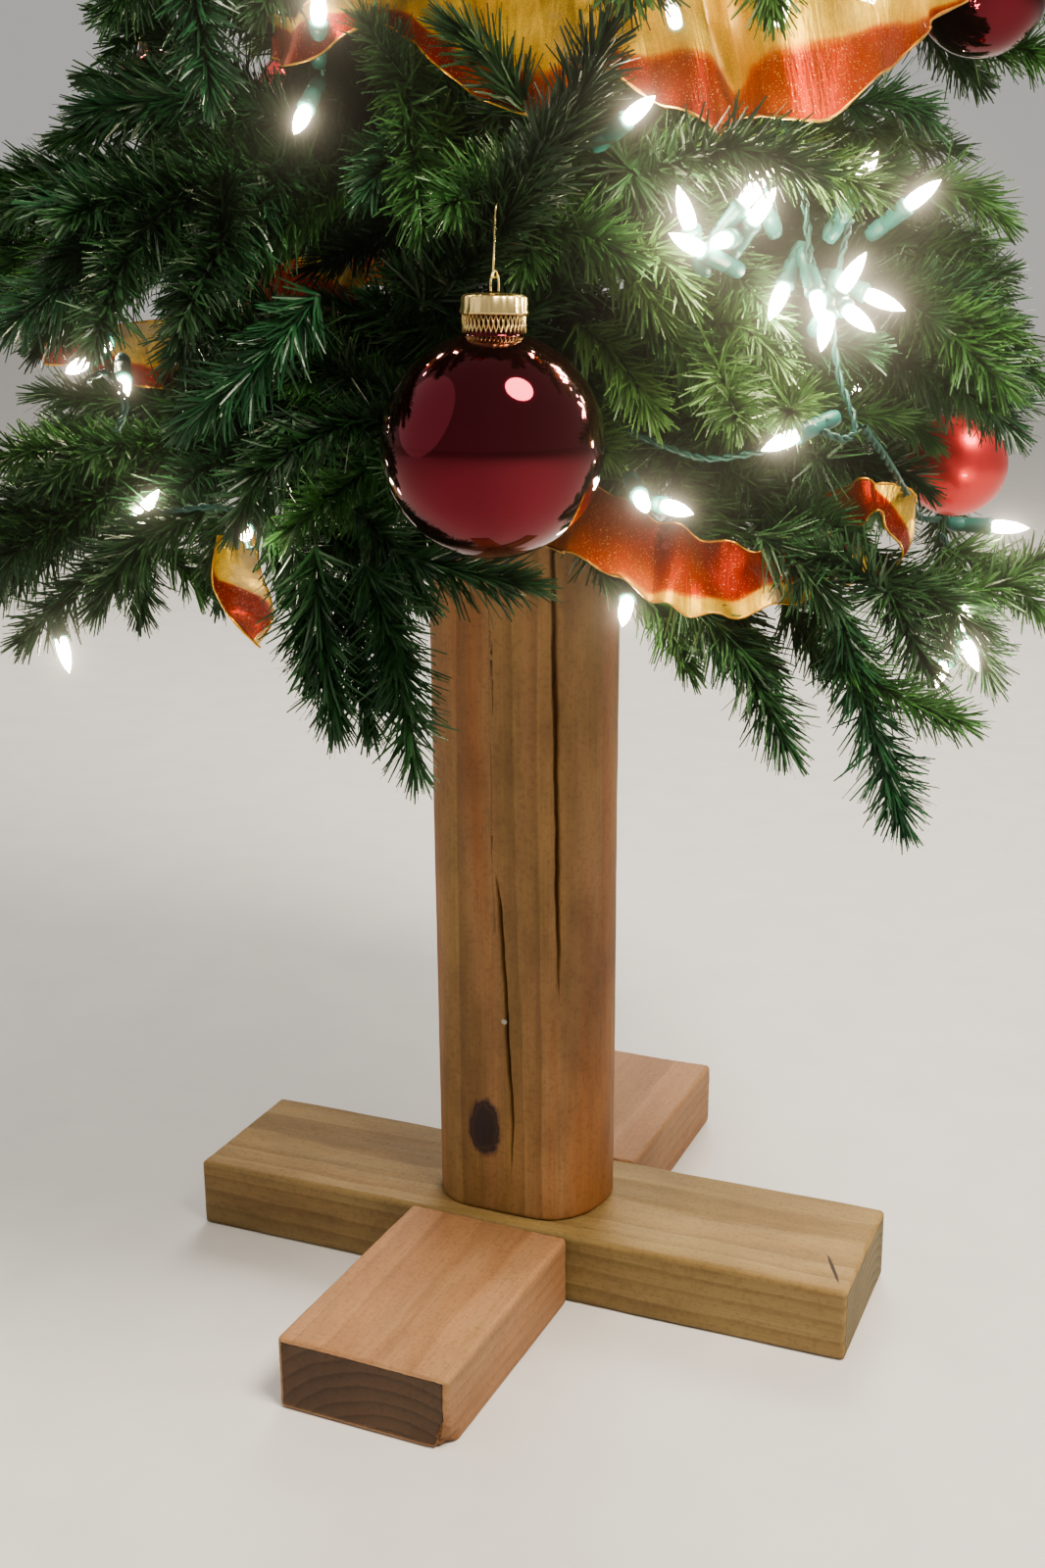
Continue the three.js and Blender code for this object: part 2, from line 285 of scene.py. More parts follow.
def sheer_ribbon():
    """Thin shimmering cloth, gold on one side and orange-red on the other. Its map "places" holds, in metres,
    the place along the ribbon and the distance across it from where the two colours meet."""
    shade = Shade("ribbon_cloth", 0.38, 0.70)
    where = shade.coordinates()
    places = shade.node("ShaderNodeUVMap", uv_map="places").outputs["UV"]
    wander = shade.remap(shade.noise(where, 70.0, 2.0), -0.003, 0.003)
    side = shade.remap(shade.compute("ADD", shade.split(places, "Y"), wander), 0.0, 1.0, -0.008, 0.008)
    crinkle = shade.noise(shade.mapped(places, Scale=(520.0, 60.0, 1.0)), 1.0, 3.0)
    color = ribbon_color(shade, where, side, crinkle)
    shade.set(Base_Color=color, Specular_IOR_Level=0.25)
    shade.bump(crinkle, 0.5, 0.0012)
    glow = shade.mix(0.25, color, RIBBON_GLOW)
    through = shade.node("ShaderNodeBsdfTranslucent", {"Color": glow}).outputs[0]
    solid = shade.mix_shader(0.30, shade.shader.outputs[0], through)
    weave = shade.remap(shade.noise(where, 1600.0, 1.0), 0.03, 0.26, 0.35, 0.65)
    open_share = shade.compute("MULTIPLY", weave, shade.remap(side, 1.0, 0.25))
    cloth = shade.mix_shader(open_share, solid, shade.node("ShaderNodeBsdfTransparent").outputs[0])
    shade.feed(shade.nodes["Material Output"].inputs["Surface"], cloth)
    return shade.material


# Dark and light colour, and roughness
NEEDLE_COLORS = {
    "deep": ((0.014, 0.053, 0.018), (0.038, 0.120, 0.036), 0.36),
    "mid": ((0.030, 0.100, 0.026), (0.080, 0.215, 0.056), 0.34),
    "blue": ((0.014, 0.062, 0.025), (0.038, 0.135, 0.054), 0.30),
    # light is a lighter tone, also used as painted light where the bulbs shine on the needles
    "light": ((0.058, 0.148, 0.034), (0.140, 0.290, 0.074), 0.36),
    # shade is painted shade: a darker copy of the needles for tips deep in the crown and behind others
    "shade": ((0.006, 0.028, 0.008), (0.017, 0.066, 0.017), 0.42),
}
NEEDLE_TONES = {tone: needle_material(tone, *look) for tone, look in NEEDLE_COLORS.items()}
WIRE = flat_color("bough_wire", (0.020, 0.050, 0.022), 0.5)
ENAMEL = flat_color("pole_enamel", (0.020, 0.070, 0.030), 0.35)
SOCKET_GREEN = flat_color("socket_green", (0.020, 0.150, 0.130), 0.38)
CORD_GREEN = flat_color("cord_green", (0.012, 0.075, 0.060), 0.42)
LAMP = flat_color("lamp_lit", (1.0, 0.93, 0.80), 0.15, Emission_Color=(1.0, 0.84, 0.62, 1),
                  Emission_Strength=90.0)
BALL_RED = flat_color("ball_red", (0.120, 0.002, 0.012), 0.06, 0.95, grain=60.0, depth=0.00005, spread=0.2,
                      Coat_Weight=0.35, Coat_Roughness=0.03)
BALL_SATIN = flat_color("ball_satin", (0.560, 0.034, 0.036), 0.36, 0.70, grain=200.0, Coat_Weight=0.3)
CAP_GOLD = flat_color("cap_gold", (0.80, 0.62, 0.28), 0.28, 1.0)
RIBBON_CLOTH = sheer_ribbon()
RIBBON_TRIM = flat_color("ribbon_trim", (0.80, 0.40, 0.07), 0.32, 0.85, grain=1300.0, depth=0.0008,
                         spread=0.35)
NAIL = flat_color("nail_head", (0.34, 0.31, 0.27), 0.45, 0.8)

PINE_TONES = ((0.46, 0.325, 0.142), (0.375, 0.250, 0.098), (0.235, 0.145, 0.048))
PINK_TONES = ((0.53, 0.310, 0.165), (0.45, 0.248, 0.124), (0.30, 0.155, 0.070))
POST_TONES = ((0.41, 0.235, 0.105), (0.32, 0.172, 0.072), (0.17, 0.083, 0.034))
PINE_END_TONES = ((0.22, 0.175, 0.085), (0.17, 0.125, 0.055), (0.10, 0.068, 0.028))
PINK_END_TONES = ((0.115, 0.066, 0.037), (0.090, 0.050, 0.027), (0.055, 0.028, 0.014))
LONG_PITH, SHORT_PITH, POST_PITH = (0, 0.012, -0.034), (0.010, 0, -0.050), (-0.004, 0.006, 0)
# Place and half sizes in metres, turn in degrees, raggedness, and the colours of edge and heart
POST_KNOT = ((-0.0090, -0.0365, 0.0856), (0.0108, 0.02, 0.0190), 0, 0.75,
             (0.110, 0.048, 0.024), (0.022, 0.010, 0.009))
END_CHECK = ((0.1729, -0.0245, 0.038), (0.0011, 0.0150, 0.006), 25, 0.5,
             (0.13, 0.085, 0.045), (0.04, 0.025, 0.015))
# The boards' sides keep 0.66 and 0.76 of their colour below the top, as painted shade
PINE = [wood_material("pine_long_board", "X", LONG_PITH, PINE_TONES, 52.0, 0.46, 0.62, mark=END_CHECK,
                      sides=0.66),
        wood_material("pine_long_board_end", "X", LONG_PITH, PINE_END_TONES, 52.0, 0.7)]
PINK_PINE = [wood_material("pine_short_pieces", "Y", SHORT_PITH, PINK_TONES, 46.0, 0.34, sides=0.76),
             wood_material("pine_short_pieces_end", "Y", SHORT_PITH, PINK_END_TONES, 46.0, 0.7)]
POST_WOOD = wood_material("post_wood", "Z", POST_PITH, POST_TONES, 70.0, 0.46, 0.80, 3.4, 0.75, POST_KNOT)


# Mesh helpers

def mesh_object(name, points, faces, materials, kinds=None, smooth=True, places=None):
    """A piece from arrays. faces has a row for each face, and kinds the number of its material. places is a
    pair for each point, kept in the map "places"."""
    points = np.asarray(points, np.float32).reshape(-1, 3)
    faces = np.asarray(faces, np.int32)
    data = bpy.data.meshes.new(name)
    data.vertices.add(len(points))
    data.vertices.foreach_set("co", points.ravel())
    data.loops.add(faces.size)
    data.loops.foreach_set("vertex_index", faces.ravel())
    data.polygons.add(len(faces))
    data.polygons.foreach_set("loop_start", np.arange(0, faces.size, faces.shape[1], dtype=np.int32))
    for material in materials:
        data.materials.append(material)
    if kinds is not None:
        data.polygons.foreach_set("material_index", np.asarray(kinds, np.int32))
    data.polygons.foreach_set("use_smooth", np.full(len(faces), smooth))
    if places is not None:
        layer = data.uv_layers.new(name="places")
        layer.uv.foreach_set("vector", np.asarray(places, np.float32)[faces.ravel()].ravel())
    data.update(calc_edges=True)
    data.validate()
    made = add_object(name, data)
    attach(made, "root")
    return made


class Collector:
    """Quads of many small shapes that end as one mesh."""

    def __init__(self):
        self.points, self.faces, self.kinds, self.count = [], [], [], 0

    def add(self, points, faces, kind=0):
        points = np.asarray(points, float).reshape(-1, 3)
        self.points.append(points)
        self.faces.append(faces + self.count)
        self.kinds.append(np.full(len(faces), kind))
        self.count += len(points)

    def build(self, name, materials, slot, places=None):
        points, faces = np.concatenate(self.points), np.concatenate(self.faces)
        return mesh_object(name, points, faces, materials, np.concatenate(self.kinds), places=places)


def grid_faces(rows, columns, wrap=True):
    """Quads of a grid of points, row by row. With wrap, the last column joins the first."""
    i, k = np.meshgrid(np.arange(rows - 1), np.arange(columns if wrap else columns - 1), indexing="ij")
    a = i * columns + k
    b = i * columns + (k + 1) % columns
    return np.stack([a, b, b + columns, a + columns], -1).reshape(-1, 4)


def across_of(directions):
    """Two directions square to each of the given ones."""
    directions = np.atleast_2d(directions)
    helper = np.where(np.abs(directions[:, 2:3]) > 0.92, [[1.0, 0, 0]], [[0, 0, 1.0]])
    first = unit(np.cross(directions, helper))
    return first, np.cross(directions, first)


def circle(angles, first, second):
    """Places on a unit circle in the plane of two directions."""
    return np.cos(angles)[..., None] * first + np.sin(angles)[..., None] * second


def add_tube(collector, path, radius, sides=6, kind=0):
    """A round tube along a path, both in metres. radius is one number or one for each point."""
    path = np.asarray(path, float)
    along = unit(np.gradient(path, axis=0))
    first, second = across_of(along)
    for i in range(1, len(path)):
        first[i] = unit(first[i - 1] - along[i] * (first[i - 1] @ along[i]))
        second[i] = np.cross(along[i], first[i])
    radius = np.broadcast_to(radius, len(path))[:, None, None]
    ring = circle(np.linspace(0, CIRCLE, sides, endpoint=False), first[:, None], second[:, None])
    collector.add(path[:, None] + radius * ring, grid_faces(len(path), sides), kind)


def add_lathe(collector, profile, place, axis, segments=20, kind=0, wave=None):
    """A turned shape: profile is a list of radius and height along the axis from the place, in millimetres.
    wave(angles, row) scales the radius."""
    axis = unit(axis)
    angles = np.linspace(0, CIRCLE, segments, endpoint=False)
    ring = circle(angles, *across_of(axis))
    rows = []
    for row, (radius, height) in enumerate(profile):
        r = radius * MM * (wave(angles, row) if wave else np.ones(segments))
        rows.append(place + axis * (height * MM) + r[:, None] * ring)
    collector.add(np.concatenate(rows), grid_faces(len(profile), segments), kind)


def curve(points, count):
    """A smooth line through the points."""
    points = np.asarray(points, float)
    padded = np.concatenate([[2 * points[0] - points[1]], points, [2 * points[-1] - points[-2]]])
    t = np.linspace(0, len(points) - 1 - 1e-6, count)
    i = t.astype(int)
    f = (t - i)[:, None]
    a, b, c, d = padded[i], padded[i + 1], padded[i + 2], padded[i + 3]
    slope, bend, twist = c - a, 2 * a - 5 * b + 4 * c - d, 3 * b - a - 3 * c + d
    return 0.5 * (2 * b + slope * f + bend * f ** 2 + twist * f ** 3)


def steps_of(line):
    """The distance from each point of a line to the next."""
    return np.linalg.norm(np.diff(line, axis=0), axis=1)


def close_end(points, first, columns, steps, shrink, flip):
    """Closes a tube's end with rings that shrink(ring, share) makes from the ring that begins at point
    first."""
    ring = points[first:first + columns]
    a = np.arange(columns)
    b = (a + 1) % columns
    faces, last = [], first
    for k in range(1, steps + 1):
        here = len(points)
        points = np.concatenate([points, shrink(ring, k / steps)])
        quads = np.stack([last + b, here + b, here + a, last + a], -1)
        faces.append(quads[:, ::-1] if flip else quads)
        last = here
    return points, np.concatenate(faces)


def smooth_noise(points, scale, seed):
    """A soft random field from -1 to 1 at the points, with features of about 1/scale of their unit."""
    points = np.asarray(points) * scale + seed * 7.31
    total = np.zeros(len(points))
    for k in range(5):
        a = np.random.default_rng(seed * 10 + k).normal(size=(3, 3))
        total += np.sin(points @ a[0] + 2.1 * np.sin(points @ a[1]) + k)
    return total / 5 ** 0.5 / 1.4


# The boards, with the relief of sawn wood, in millimetres along their own Y

BOARD_HALF, BOARD_THICK, BOARD_ROUND, END_ROUND, SEAM = 44.5, 38.0, 3.0, 2.4, 0.3
BESIDE_ARC = 0.4  # a column this close to each arc keeps the flat sides flat
ACROSS_STEP, ALONG_STEP = 2.1, 2.6
END_RINGS, HEART_HALF = 12, 30  # rings that close an end, and half the line that they shrink to
BOARDS = [
    # name, length, where it starts on its own Y, place on X, turn in degrees, material and seed
    ("long", 362.0, 0.0, 3.3 - 362.0 / 2, -90.0, PINE, 3),
    ("front", 136.5, BOARD_HALF + SEAM, -2.5, 180.0 - 1.4, PINK_PINE, 12),
    ("rear", 141.0, BOARD_HALF + SEAM, 1.9, 0.0, PINK_PINE, 14),
]


def rounded_section(half_width, height, radius, step, arc_steps):
    """Outline of a board's section, and the outward direction at each of its points."""
    corners = [(half_width - radius, radius, -90), (half_width - radius, height - radius, 0),
               (-half_width + radius, height - radius, 90), (-half_width + radius, radius, 180)]
    outline, normals = [], []
    for n, (x, y, start) in enumerate(corners):
        angles = np.radians(start + 90 * np.arange(arc_steps + 1) / arc_steps)
        arc = np.stack([np.cos(angles), np.sin(angles)], -1)
        side_start = (x, y) + radius * arc[-1]
        side = corners[(n + 1) % 4][:2] + radius * arc[-1] - side_start
        width = np.linalg.norm(side)
        steps = max(2, round(width / step))
        shares = np.array([BESIDE_ARC / width, *np.arange(1, steps) / steps, 1 - BESIDE_ARC / width])
        outline += [(x, y) + radius * arc, side_start + side * shares[:, None]]
        normals += [arc, np.tile(arc[-1], (len(shares), 1))]
    return np.concatenate(outline), np.concatenate(normals)


def board_sides(length):
    """Points of a board's sides with eased ends, row by row, and their outward directions."""
    outline, normals = rounded_section(BOARD_HALF, BOARD_THICK, BOARD_ROUND, ACROSS_STEP, 4)
    ease = np.array([0.0, 0.25, 0.6, 1.1, 1.8, 2.6])
    between = np.linspace(4, length - 4, round(length / ALONG_STEP))
    rows = np.concatenate([ease, between, length - ease[::-1]])
    short = END_ROUND - np.minimum(np.minimum(rows, length - rows), END_ROUND)
    inset = END_ROUND - np.sqrt(np.maximum(END_ROUND ** 2 - short ** 2, 0))
    section = outline - normals * inset[:, None, None]
    y = np.broadcast_to(rows[:, None], section.shape[:2])
    points = np.stack([section[..., 0], y, section[..., 1]], -1).reshape(-1, 3)
    outward = np.stack([normals[:, 0], 0 * normals[:, 0], normals[:, 1]], -1)
    return points, np.tile(outward, (len(rows), 1)), len(rows), len(outline)


def sawn(points, outward, seed):
    """Points moved in by the wood's fibre and saw marks. The underside stays flat."""
    fibre = smooth_noise(points * [1, 0.05, 1], 0.9, seed) * 0.16
    fibre += smooth_noise(points, 0.03, seed + 1) * 0.35
    saw = smooth_noise(points * [1, 0.02, 1], 2.4, seed + 2) * 0.06
    shift = np.minimum(fibre + saw - 0.3, 0.0)
    shift[outward[:, 2] < -0.7] = 0
    return points + outward * shift[:, None]


def close_board(points, first, columns, facing, seed):
    """One end closed with rough rings that shrink to a line along the section's middle."""
    def shrink(ring, share):
        inner = ring.copy()
        inner[:, 0] = ring[:, 0] * (1 - share) + np.clip(ring[:, 0], -HEART_HALF, HEART_HALF) * share
        inner[:, 2] = ring[:, 2] * (1 - share) + BOARD_THICK / 2 * share
        rough = smooth_noise(inner * [1, 0, 1], 0.5, seed + 5) * 0.22
        rough += smooth_noise(inner, 1.6, seed + 6) * 0.1
        inner[:, 1] = ring[:, 1] + facing * np.abs(rough) * (0.3 + 0.7 * share)
        return inner

    return close_end(points, first, columns, END_RINGS, shrink, facing < 0)


def break_corner(points, length):
    """The lower outer corner broken off along a slanting face with splinters that run along the grain, and
    which points that moves."""
    slant = unit([-0.74, 0.52, -0.42])
    splinters = smooth_noise(points * [1, 0.12, 1], 0.9, 77) * 1.5 + smooth_noise(points, 0.25, 78)
    beyond = (points - [-BOARD_HALF, length, 0]) @ slant + 7.5 + splinters
    return points - np.clip(beyond, 0, None)[:, None] * slant, beyond > 0


def board_mesh(name, length, start, place, turn, materials, seed):
    """A 2x4 lying flat. A board that starts beside the long one has its inner end cut parallel to it."""
    points, outward, rows, columns = board_sides(length)
    points, inner_end = close_board(sawn(points, outward, seed), 0, columns, 1, seed)
    points, outer_end = close_board(points, (rows - 1) * columns, columns, -1, seed)
    faces = np.concatenate([grid_faces(rows, columns), inner_end, outer_end])
    kinds = np.arange(len(faces)) >= (rows - 1) * columns  # the sides, then the ends
    if name == "front":
        points, broken = break_corner(points, length)
        kinds &= ~broken[faces].all(axis=1)
    cos, sin = math.cos(math.radians(turn)), math.sin(math.radians(turn))
    if start:
        points[:, 1] += start - SEAM
        points[:, 1] = np.maximum(points[:, 1], (start + abs(sin) * points[:, 0]) / abs(cos))
    points = points @ [[cos, sin, 0], [-sin, cos, 0], [0, 0, 1]] + [place, 0, 0]
    return mesh_object(f"board_{name}", points * MM, faces, materials, kinds)


for name, *shape in BOARDS:
    board = board_mesh(name, *shape)
    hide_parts(f"stand_board_{name}")


# The post, with drying checks, a knot and a nail head, in millimetres

POST_BOTTOM, POST_HEIGHT, POST_TOP, TOP_GROWTH = 38.0, 380.0, 418.0, 0.03
FLAT_HALF, HALF_DEPTH, ROUND = 18.0, 36.0, 28.5
CHECKS = [
    # place round the post from its front's middle, half width, depth, and the line's heights and places
    (31.0, 0.72, 8.0, [(160, 31.5), (192, 31.2), (273, 30.2), (345, 28.9), (380, 28.3), (418, 28.2)]),
    (3.0, 0.58, 5.5, [(52, 4.2), (72, 6.5), (94, 6.8), (117, 5.3), (148, 3.8), (189, 1.8), (217, -0.6),
                      (222, -1.2)]),
]
KNOT = (-9.6, 85.6, 9.0, 13.3)  # across, height, half width, half height
AROUND_STEP, UP_STEP = 1.7, 2.4
BESIDE_CHECK = np.array([0, 0.3, 0.7, 1.3, 2.2, 3.5])  # columns on both sides of a check's middle
TOP_RINGS = 10
NAIL_PLACE = (2.6, 146.0)  # across, height
NAIL_PROFILE = [(1.5, -1.2), (1.7, -0.1), (1.5, 0.2), (0.8, 0.25), (0.02, 0.22)]


def post_outline(s):
    """Points and outward directions of the post's outline at distances s round it from the front's middle,
    and the whole way round."""
    t = np.linspace(-math.pi / 2, math.pi / 2, 200)
    arc = np.stack([FLAT_HALF + ROUND * np.cos(t), HALF_DEPTH * np.sin(t)], -1)
    half = np.concatenate([[[0, -HALF_DEPTH]], arc, [[0, HALF_DEPTH]]])
    line = np.concatenate([half, half[::-1][1:] * [-1, 1]])
    distance = np.concatenate([[0], np.cumsum(steps_of(line))])

    def at(places):
        places = np.mod(places, distance[-1])
        return np.stack([np.interp(places, distance, line[:, k]) for k in (0, 1)], -1)

    ahead = at(s + 0.4) - at(s - 0.4)
    return at(s), unit(ahead[:, ::-1] * [1, -1]), distance[-1]


def post_grid():
    """Distances round the post and heights of its points, closer together at the drying checks and ends."""
    around = post_outline(np.zeros(1))[2]
    columns = np.arange(0, around, AROUND_STEP)
    for home, *_ in CHECKS:
        columns = columns[np.abs(columns - home) > BESIDE_CHECK[-1] + 0.7]
        columns = np.concatenate([columns, home - BESIDE_CHECK[1:], home + BESIDE_CHECK])
    rows = np.concatenate([[38.0, 38.6, 39.6], np.arange(41, 415, UP_STEP), [416.6, 417.5, POST_TOP]])
    s, z = np.meshgrid(np.sort(columns), rows)
    return s.ravel(), z.ravel(), len(columns), len(rows)


def check_opening(z, low, high):
    """How far a drying check is open at each height, from 0 to 1. One that reaches the top is open there."""
    if high == POST_TOP:
        return np.clip((z - low) / 60, 0, 1)
    closing = np.clip((z - low) / 22, 0, 1) * np.clip((high + 4 - z) / 22, 0, 1)
    return closing * np.clip(0.25 + (z - 62) / 75, 0.25, 1)


def split_by_checks(s, z):
    """The places round the post bent along its drying checks, and the checks' depth there."""
    bent, depth = s.copy(), np.zeros(len(s))
    for home, width, deepest, line in CHECKS:
        heights, places = np.array(line).T
        wander = 0.22 * np.sin(z * 0.11 + home) + 0.14 * np.sin(z * 0.31)
        shift = np.interp(z, heights, places) - home + wander
        bent += shift * np.clip(1 - np.abs(s - home) / 11, 0, 1)
        opening = check_opening(z, heights[0], heights[-1]) * (0.86 + 0.14 * np.sin(z * 0.045 + home))
        depth += deepest * opening * np.exp(-(np.abs(s - home) / (width * (0.5 + opening))) ** 2.4)
    return bent, depth


def knot_relief(points):
    """The raised rings of the knot on the post's front."""
    x, height, half_x, half_height = KNOT
    away = np.hypot((points[:, 0] - x) / half_x, (points[:, 2] - height) / half_height)
    knot = np.where(points[:, 1] < -20, np.exp(-np.maximum(away - 0.55, 0) ** 2 * 6), 0)
    return knot * (0.45 * np.sin(away * 11) + 0.8 * (away < 1.0) - 0.2)


def weather(points):
    """How far out the wood's grain, pits and knot leave each point of the post."""
    grain = smooth_noise(points * [1, 1, 0.03], 1.4, 21) * 0.14
    grain += smooth_noise(points * [1, 1, 0.15], 0.12, 22) * 0.3
    pits = np.clip(smooth_noise(points * [1, 1, 0.25], 0.5, 23) - 1.1, 0, 1) * 0.5
    return np.minimum(grain - pits, 0.4) - 0.3 * knot_relief(points) - 0.45


def growth(z):
    """How much wider than at its foot the post is at a height."""
    return 1 + TOP_GROWTH * (z - POST_BOTTOM) / POST_HEIGHT


def make_post():
    s, z, columns, rows = post_grid()
    bent, depth = split_by_checks(s, z)
    flat, outward, _ = post_outline(bent)
    points = np.stack([*(flat.T * growth(z)), z], -1)
    facing = np.stack([*outward.T, 0 * z], -1)
    ease = np.clip(1.6 - np.minimum(z - POST_BOTTOM, POST_TOP - z), 0, 1.6) ** 2 * 0.35
    points += facing * (weather(points) - depth - ease)[:, None]

    def shrink(ring, share):
        inner = ring * [1 - 0.78 * share, 1 - 0.75 * share, 1]
        inner[:, 2] -= np.abs(smooth_noise(inner, 0.5, 31)) * 0.3
        return inner

    points, top = close_end(points, (rows - 1) * columns, columns, TOP_RINGS, shrink, False)
    faces = np.concatenate([grid_faces(rows, columns), top])
    return mesh_object("post", points * MM, faces, [POST_WOOD])


post = make_post()
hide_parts("stand_post")

nail = Collector()
nail_place = np.array([NAIL_PLACE[0], 0.35 - HALF_DEPTH * growth(NAIL_PLACE[1]), NAIL_PLACE[1]])
add_lathe(nail, NAIL_PROFILE, nail_place * MM, [0, -1, 0.05], 14)
nail.build("post_nail", [NAIL], "post")


# The tree's plan, as the solids have it, in millimetres and degrees

TIERS = [
    # ring height, boughs, azimuth of the first, reach, lift of the tips
    (430, 7, -80.0, 285, -34),
    (535, 7, -54.3, 274, -28),
    (640, 6, 20.0, 250, -20),
    (742, 6, 50.0, 223, -10),
    (840, 5, 12.0, 196, 2),
    (935, 5, 48.0, 168, 14),
    (1028, 4, 15.0, 140, 26),
    (1120, 3, 75.0, 116, 32),
    (1208, 3, 15.0, 92, 38),
]
# Reach, lift and arch of the boughs that differ, by tier and bough counted from 1
CHANGES = {(1, 7): (285, -54, 40), (2, 2): (246, -64, 16), (3, 1): (268, -44, 35)}
ARCH, START = 40, 16  # of the longest bough's middle line
HALF_HEIGHT, HALF_WIDTH, THINNING = 76, 92, 0.22  # of its needles, and how much thinner short boughs are
MOST_REACH = max(tier[3] for tier in TIERS)
POLE_TOP, TREE_TOP = 1345, 1500
SAG = 8  # how far a bough's wire hangs below the middle of its needles
FORK = 0.66  # the share of a bough where its wire ends in tips


def heading(turn):
    return np.array([math.cos(turn), math.sin(turn), 0])


def crown_reach(height, lifted, *above):
    """The crown's reach at a height. lifted is how much of their lift the tips have there, and above holds
    heights and reaches over the last tier."""
    heights = [tier[0] + lifted * tier[4] for tier in TIERS] + [place for place, _ in above]
    return np.interp(height, heights, [tier[3] for tier in TIERS] + [reach for _, reach in above])


def bough_frame(tier, index):
    """The bough's sideways direction, and functions of the share of its length for its middle line and half
    sizes, in millimetres, and for its wire, in metres."""
    height, boughs, azimuth, reach, lift = TIERS[tier]
    turn = math.radians(azimuth + 360 / boughs * index)
    outward = heading(turn)
    sideways = np.array([-math.sin(turn), math.cos(turn), 0])
    size = reach / MOST_REACH
    reach, lift, arch = CHANGES.get((tier + 1, index + 1), (reach, lift, ARCH * size))
    thin = 1 - THINNING * (1 - size)
    sector = math.sin(math.pi / boughs)

    def middle(s):
        return outward * (START + (reach - START) * s) + Z * (height + lift * s + arch * 4 * s * (1 - s))

    def halves(s):
        full = max(math.sin(math.pi * min(s, 1) ** 1.1), 0.0) ** 0.4
        radius = START + (reach - START) * s
        return min(HALF_WIDTH * thin * full, radius * sector), HALF_HEIGHT * thin * full

    def wire(s):
        return (middle(s) - Z * SAG * math.sin(math.pi * s)) * MM

    return sideways, middle, halves, wire


# The pole, with a moulded ring at each tier

POLE_PROFILE = [(11, 330), (11, 884), (10.4, 888), (8.6, 895), (8, 899), (8, 1346), (7.2, 1349), (0.1, 1350)]
RING_PROFILE = [(20.6, -7.2), (22, -5.8), (22, -1.6), (20.4, -1.0), (20.4, 1.0), (22, 1.6), (22, 5.8),
                (20.6, 7.2)]


def pole_profile():
    """Radius and height of the pole with its rings."""
    profile = list(POLE_PROFILE)
    for height, *_ in TIERS:
        place = next(i for i, (_, z) in enumerate(profile) if z > height)
        tube = profile[place][0]
        ring = [(tube, -8.6), (tube + 1.5, -8.2), *RING_PROFILE, (tube + 1.5, 8.2), (tube, 8.6)]
        profile[place:place] = [(r, height + z) for r, z in ring]
    return profile


pole = Collector()
add_lathe(pole, pole_profile(), np.zeros(3), Z, 28)
pole = pole.build("pole", [ENAMEL], "pole")
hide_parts("trunk_pole")


# What the photograph leaves free of needles

# Where the wall shows past the crown, in polygons of pixels: no seeded tip ends there
OPEN_SPACES = [
    [(-90, -60), (120, -60), (105, 60), (70, 120), (20, 160), (-90, 190)],
    [(905, 70), (955, 105), (1005, 175), (1035, 225), (1240, 225), (1240, 110), (1060, 100), (1000, 85),
     (950, 60)],
    [(1035, 225), (1030, 320), (1075, 345), (1240, 345), (1240, 225)],
    [(1070, 420), (1035, 450), (1035, 520), (1240, 545), (1240, 420)],
    [(-300, 600), (60, 615), (110, 590), (270, 545), (300, 590), (440, 590), (460, 560), (640, 560),
     (700, 620), (860, 640), (960, 600), (1300, 585), (1300, 1600), (-300, 1600)],
]
# What stands clear of needles: pixel, radius in pixels, and distance before the pole
CLEAR = [
    (503, 458, 138, 165), (503, 320, 52, 170), (975, 474, 68, -15), (1003, -12, 82, 5), (157, 92, 12, 0),
    (738, 238, 56, 178), (492, 226, 24, 212), (470, 258, 24, 205), (452, 288, 22, 198), (512, 196, 28, 212),
    (536, 156, 24, 216), (572, 104, 22, 218), (600, 545, 40, 120), (640, 556, 42, 140), (680, 572, 42, 145),
    (720, 582, 40, 145), (760, 588, 40, 145), (800, 586, 38, 140), (880, 508, 30, 85), (898, 550, 34, 90),
    (470, 80, 36, 140), (510, 60, 40, 150), (550, 85, 36, 165), (680, 60, 42, 165), (730, 40, 42, 165),
    (780, 60, 44, 170), (830, 50, 42, 165), (880, 30, 40, 150), (925, 10, 36, 130), (760, 108, 38, 185),
    (820, 96, 38, 185), (782, 142, 34, 186), (842, 122, 32, 186), (152, 364, 26, 52), (655, 518, 30, 150),
    (240, 572, 32, 125), (246, 612, 28, 145), (262, 645, 16, 150), (312, 55, 34, 140), (826, 230, 40, 180),
    (850, 350, 30, 182), (862, 430, 42, 188), (960, 530, 34, 65),
]


def in_the_way(points):
    """Whether needles round any of the points would cover what the photograph shows clear of them."""
    x, y = pixels(points)
    toward = -(points @ LEVEL) / MM
    return any(np.any((np.hypot(x - cx, y - cy) < size) & (toward > limit)) for cx, cy, size, limit in CLEAR)


def pixel(point):
    """Pixel x and y of one point in the photograph."""
    x, y = pixels(np.asarray(point)[None])
    return float(x[0]), float(y[0])


def in_photo(point, margin=0.0, behind=40.0):
    """Whether a point falls inside the photograph's frame, no more than `behind` millimetres behind the
    pole."""
    x, y = pixel(point)
    near = -(np.asarray(point) @ LEVEL) > -behind * MM
    return near and -margin < x < PHOTO_SIZE[0] + margin and -margin < y < PHOTO_SIZE[1] + margin


def inside(polygon, x, y):
    """Whether a pixel lies inside a polygon of pixels."""
    result = False
    for (ax, ay), (bx, by) in zip(polygon, polygon[1:] + polygon[:1]):
        if (ay > y) != (by > y) and x < (bx - ax) * (y - ay) / (by - ay) + ax:
            result = not result
    return result


def is_open(point):
    """Whether the photograph shows the wall at a point."""
    return any(inside(space, *pixel(point)) for space in OPEN_SPACES)


# Boughs and tips

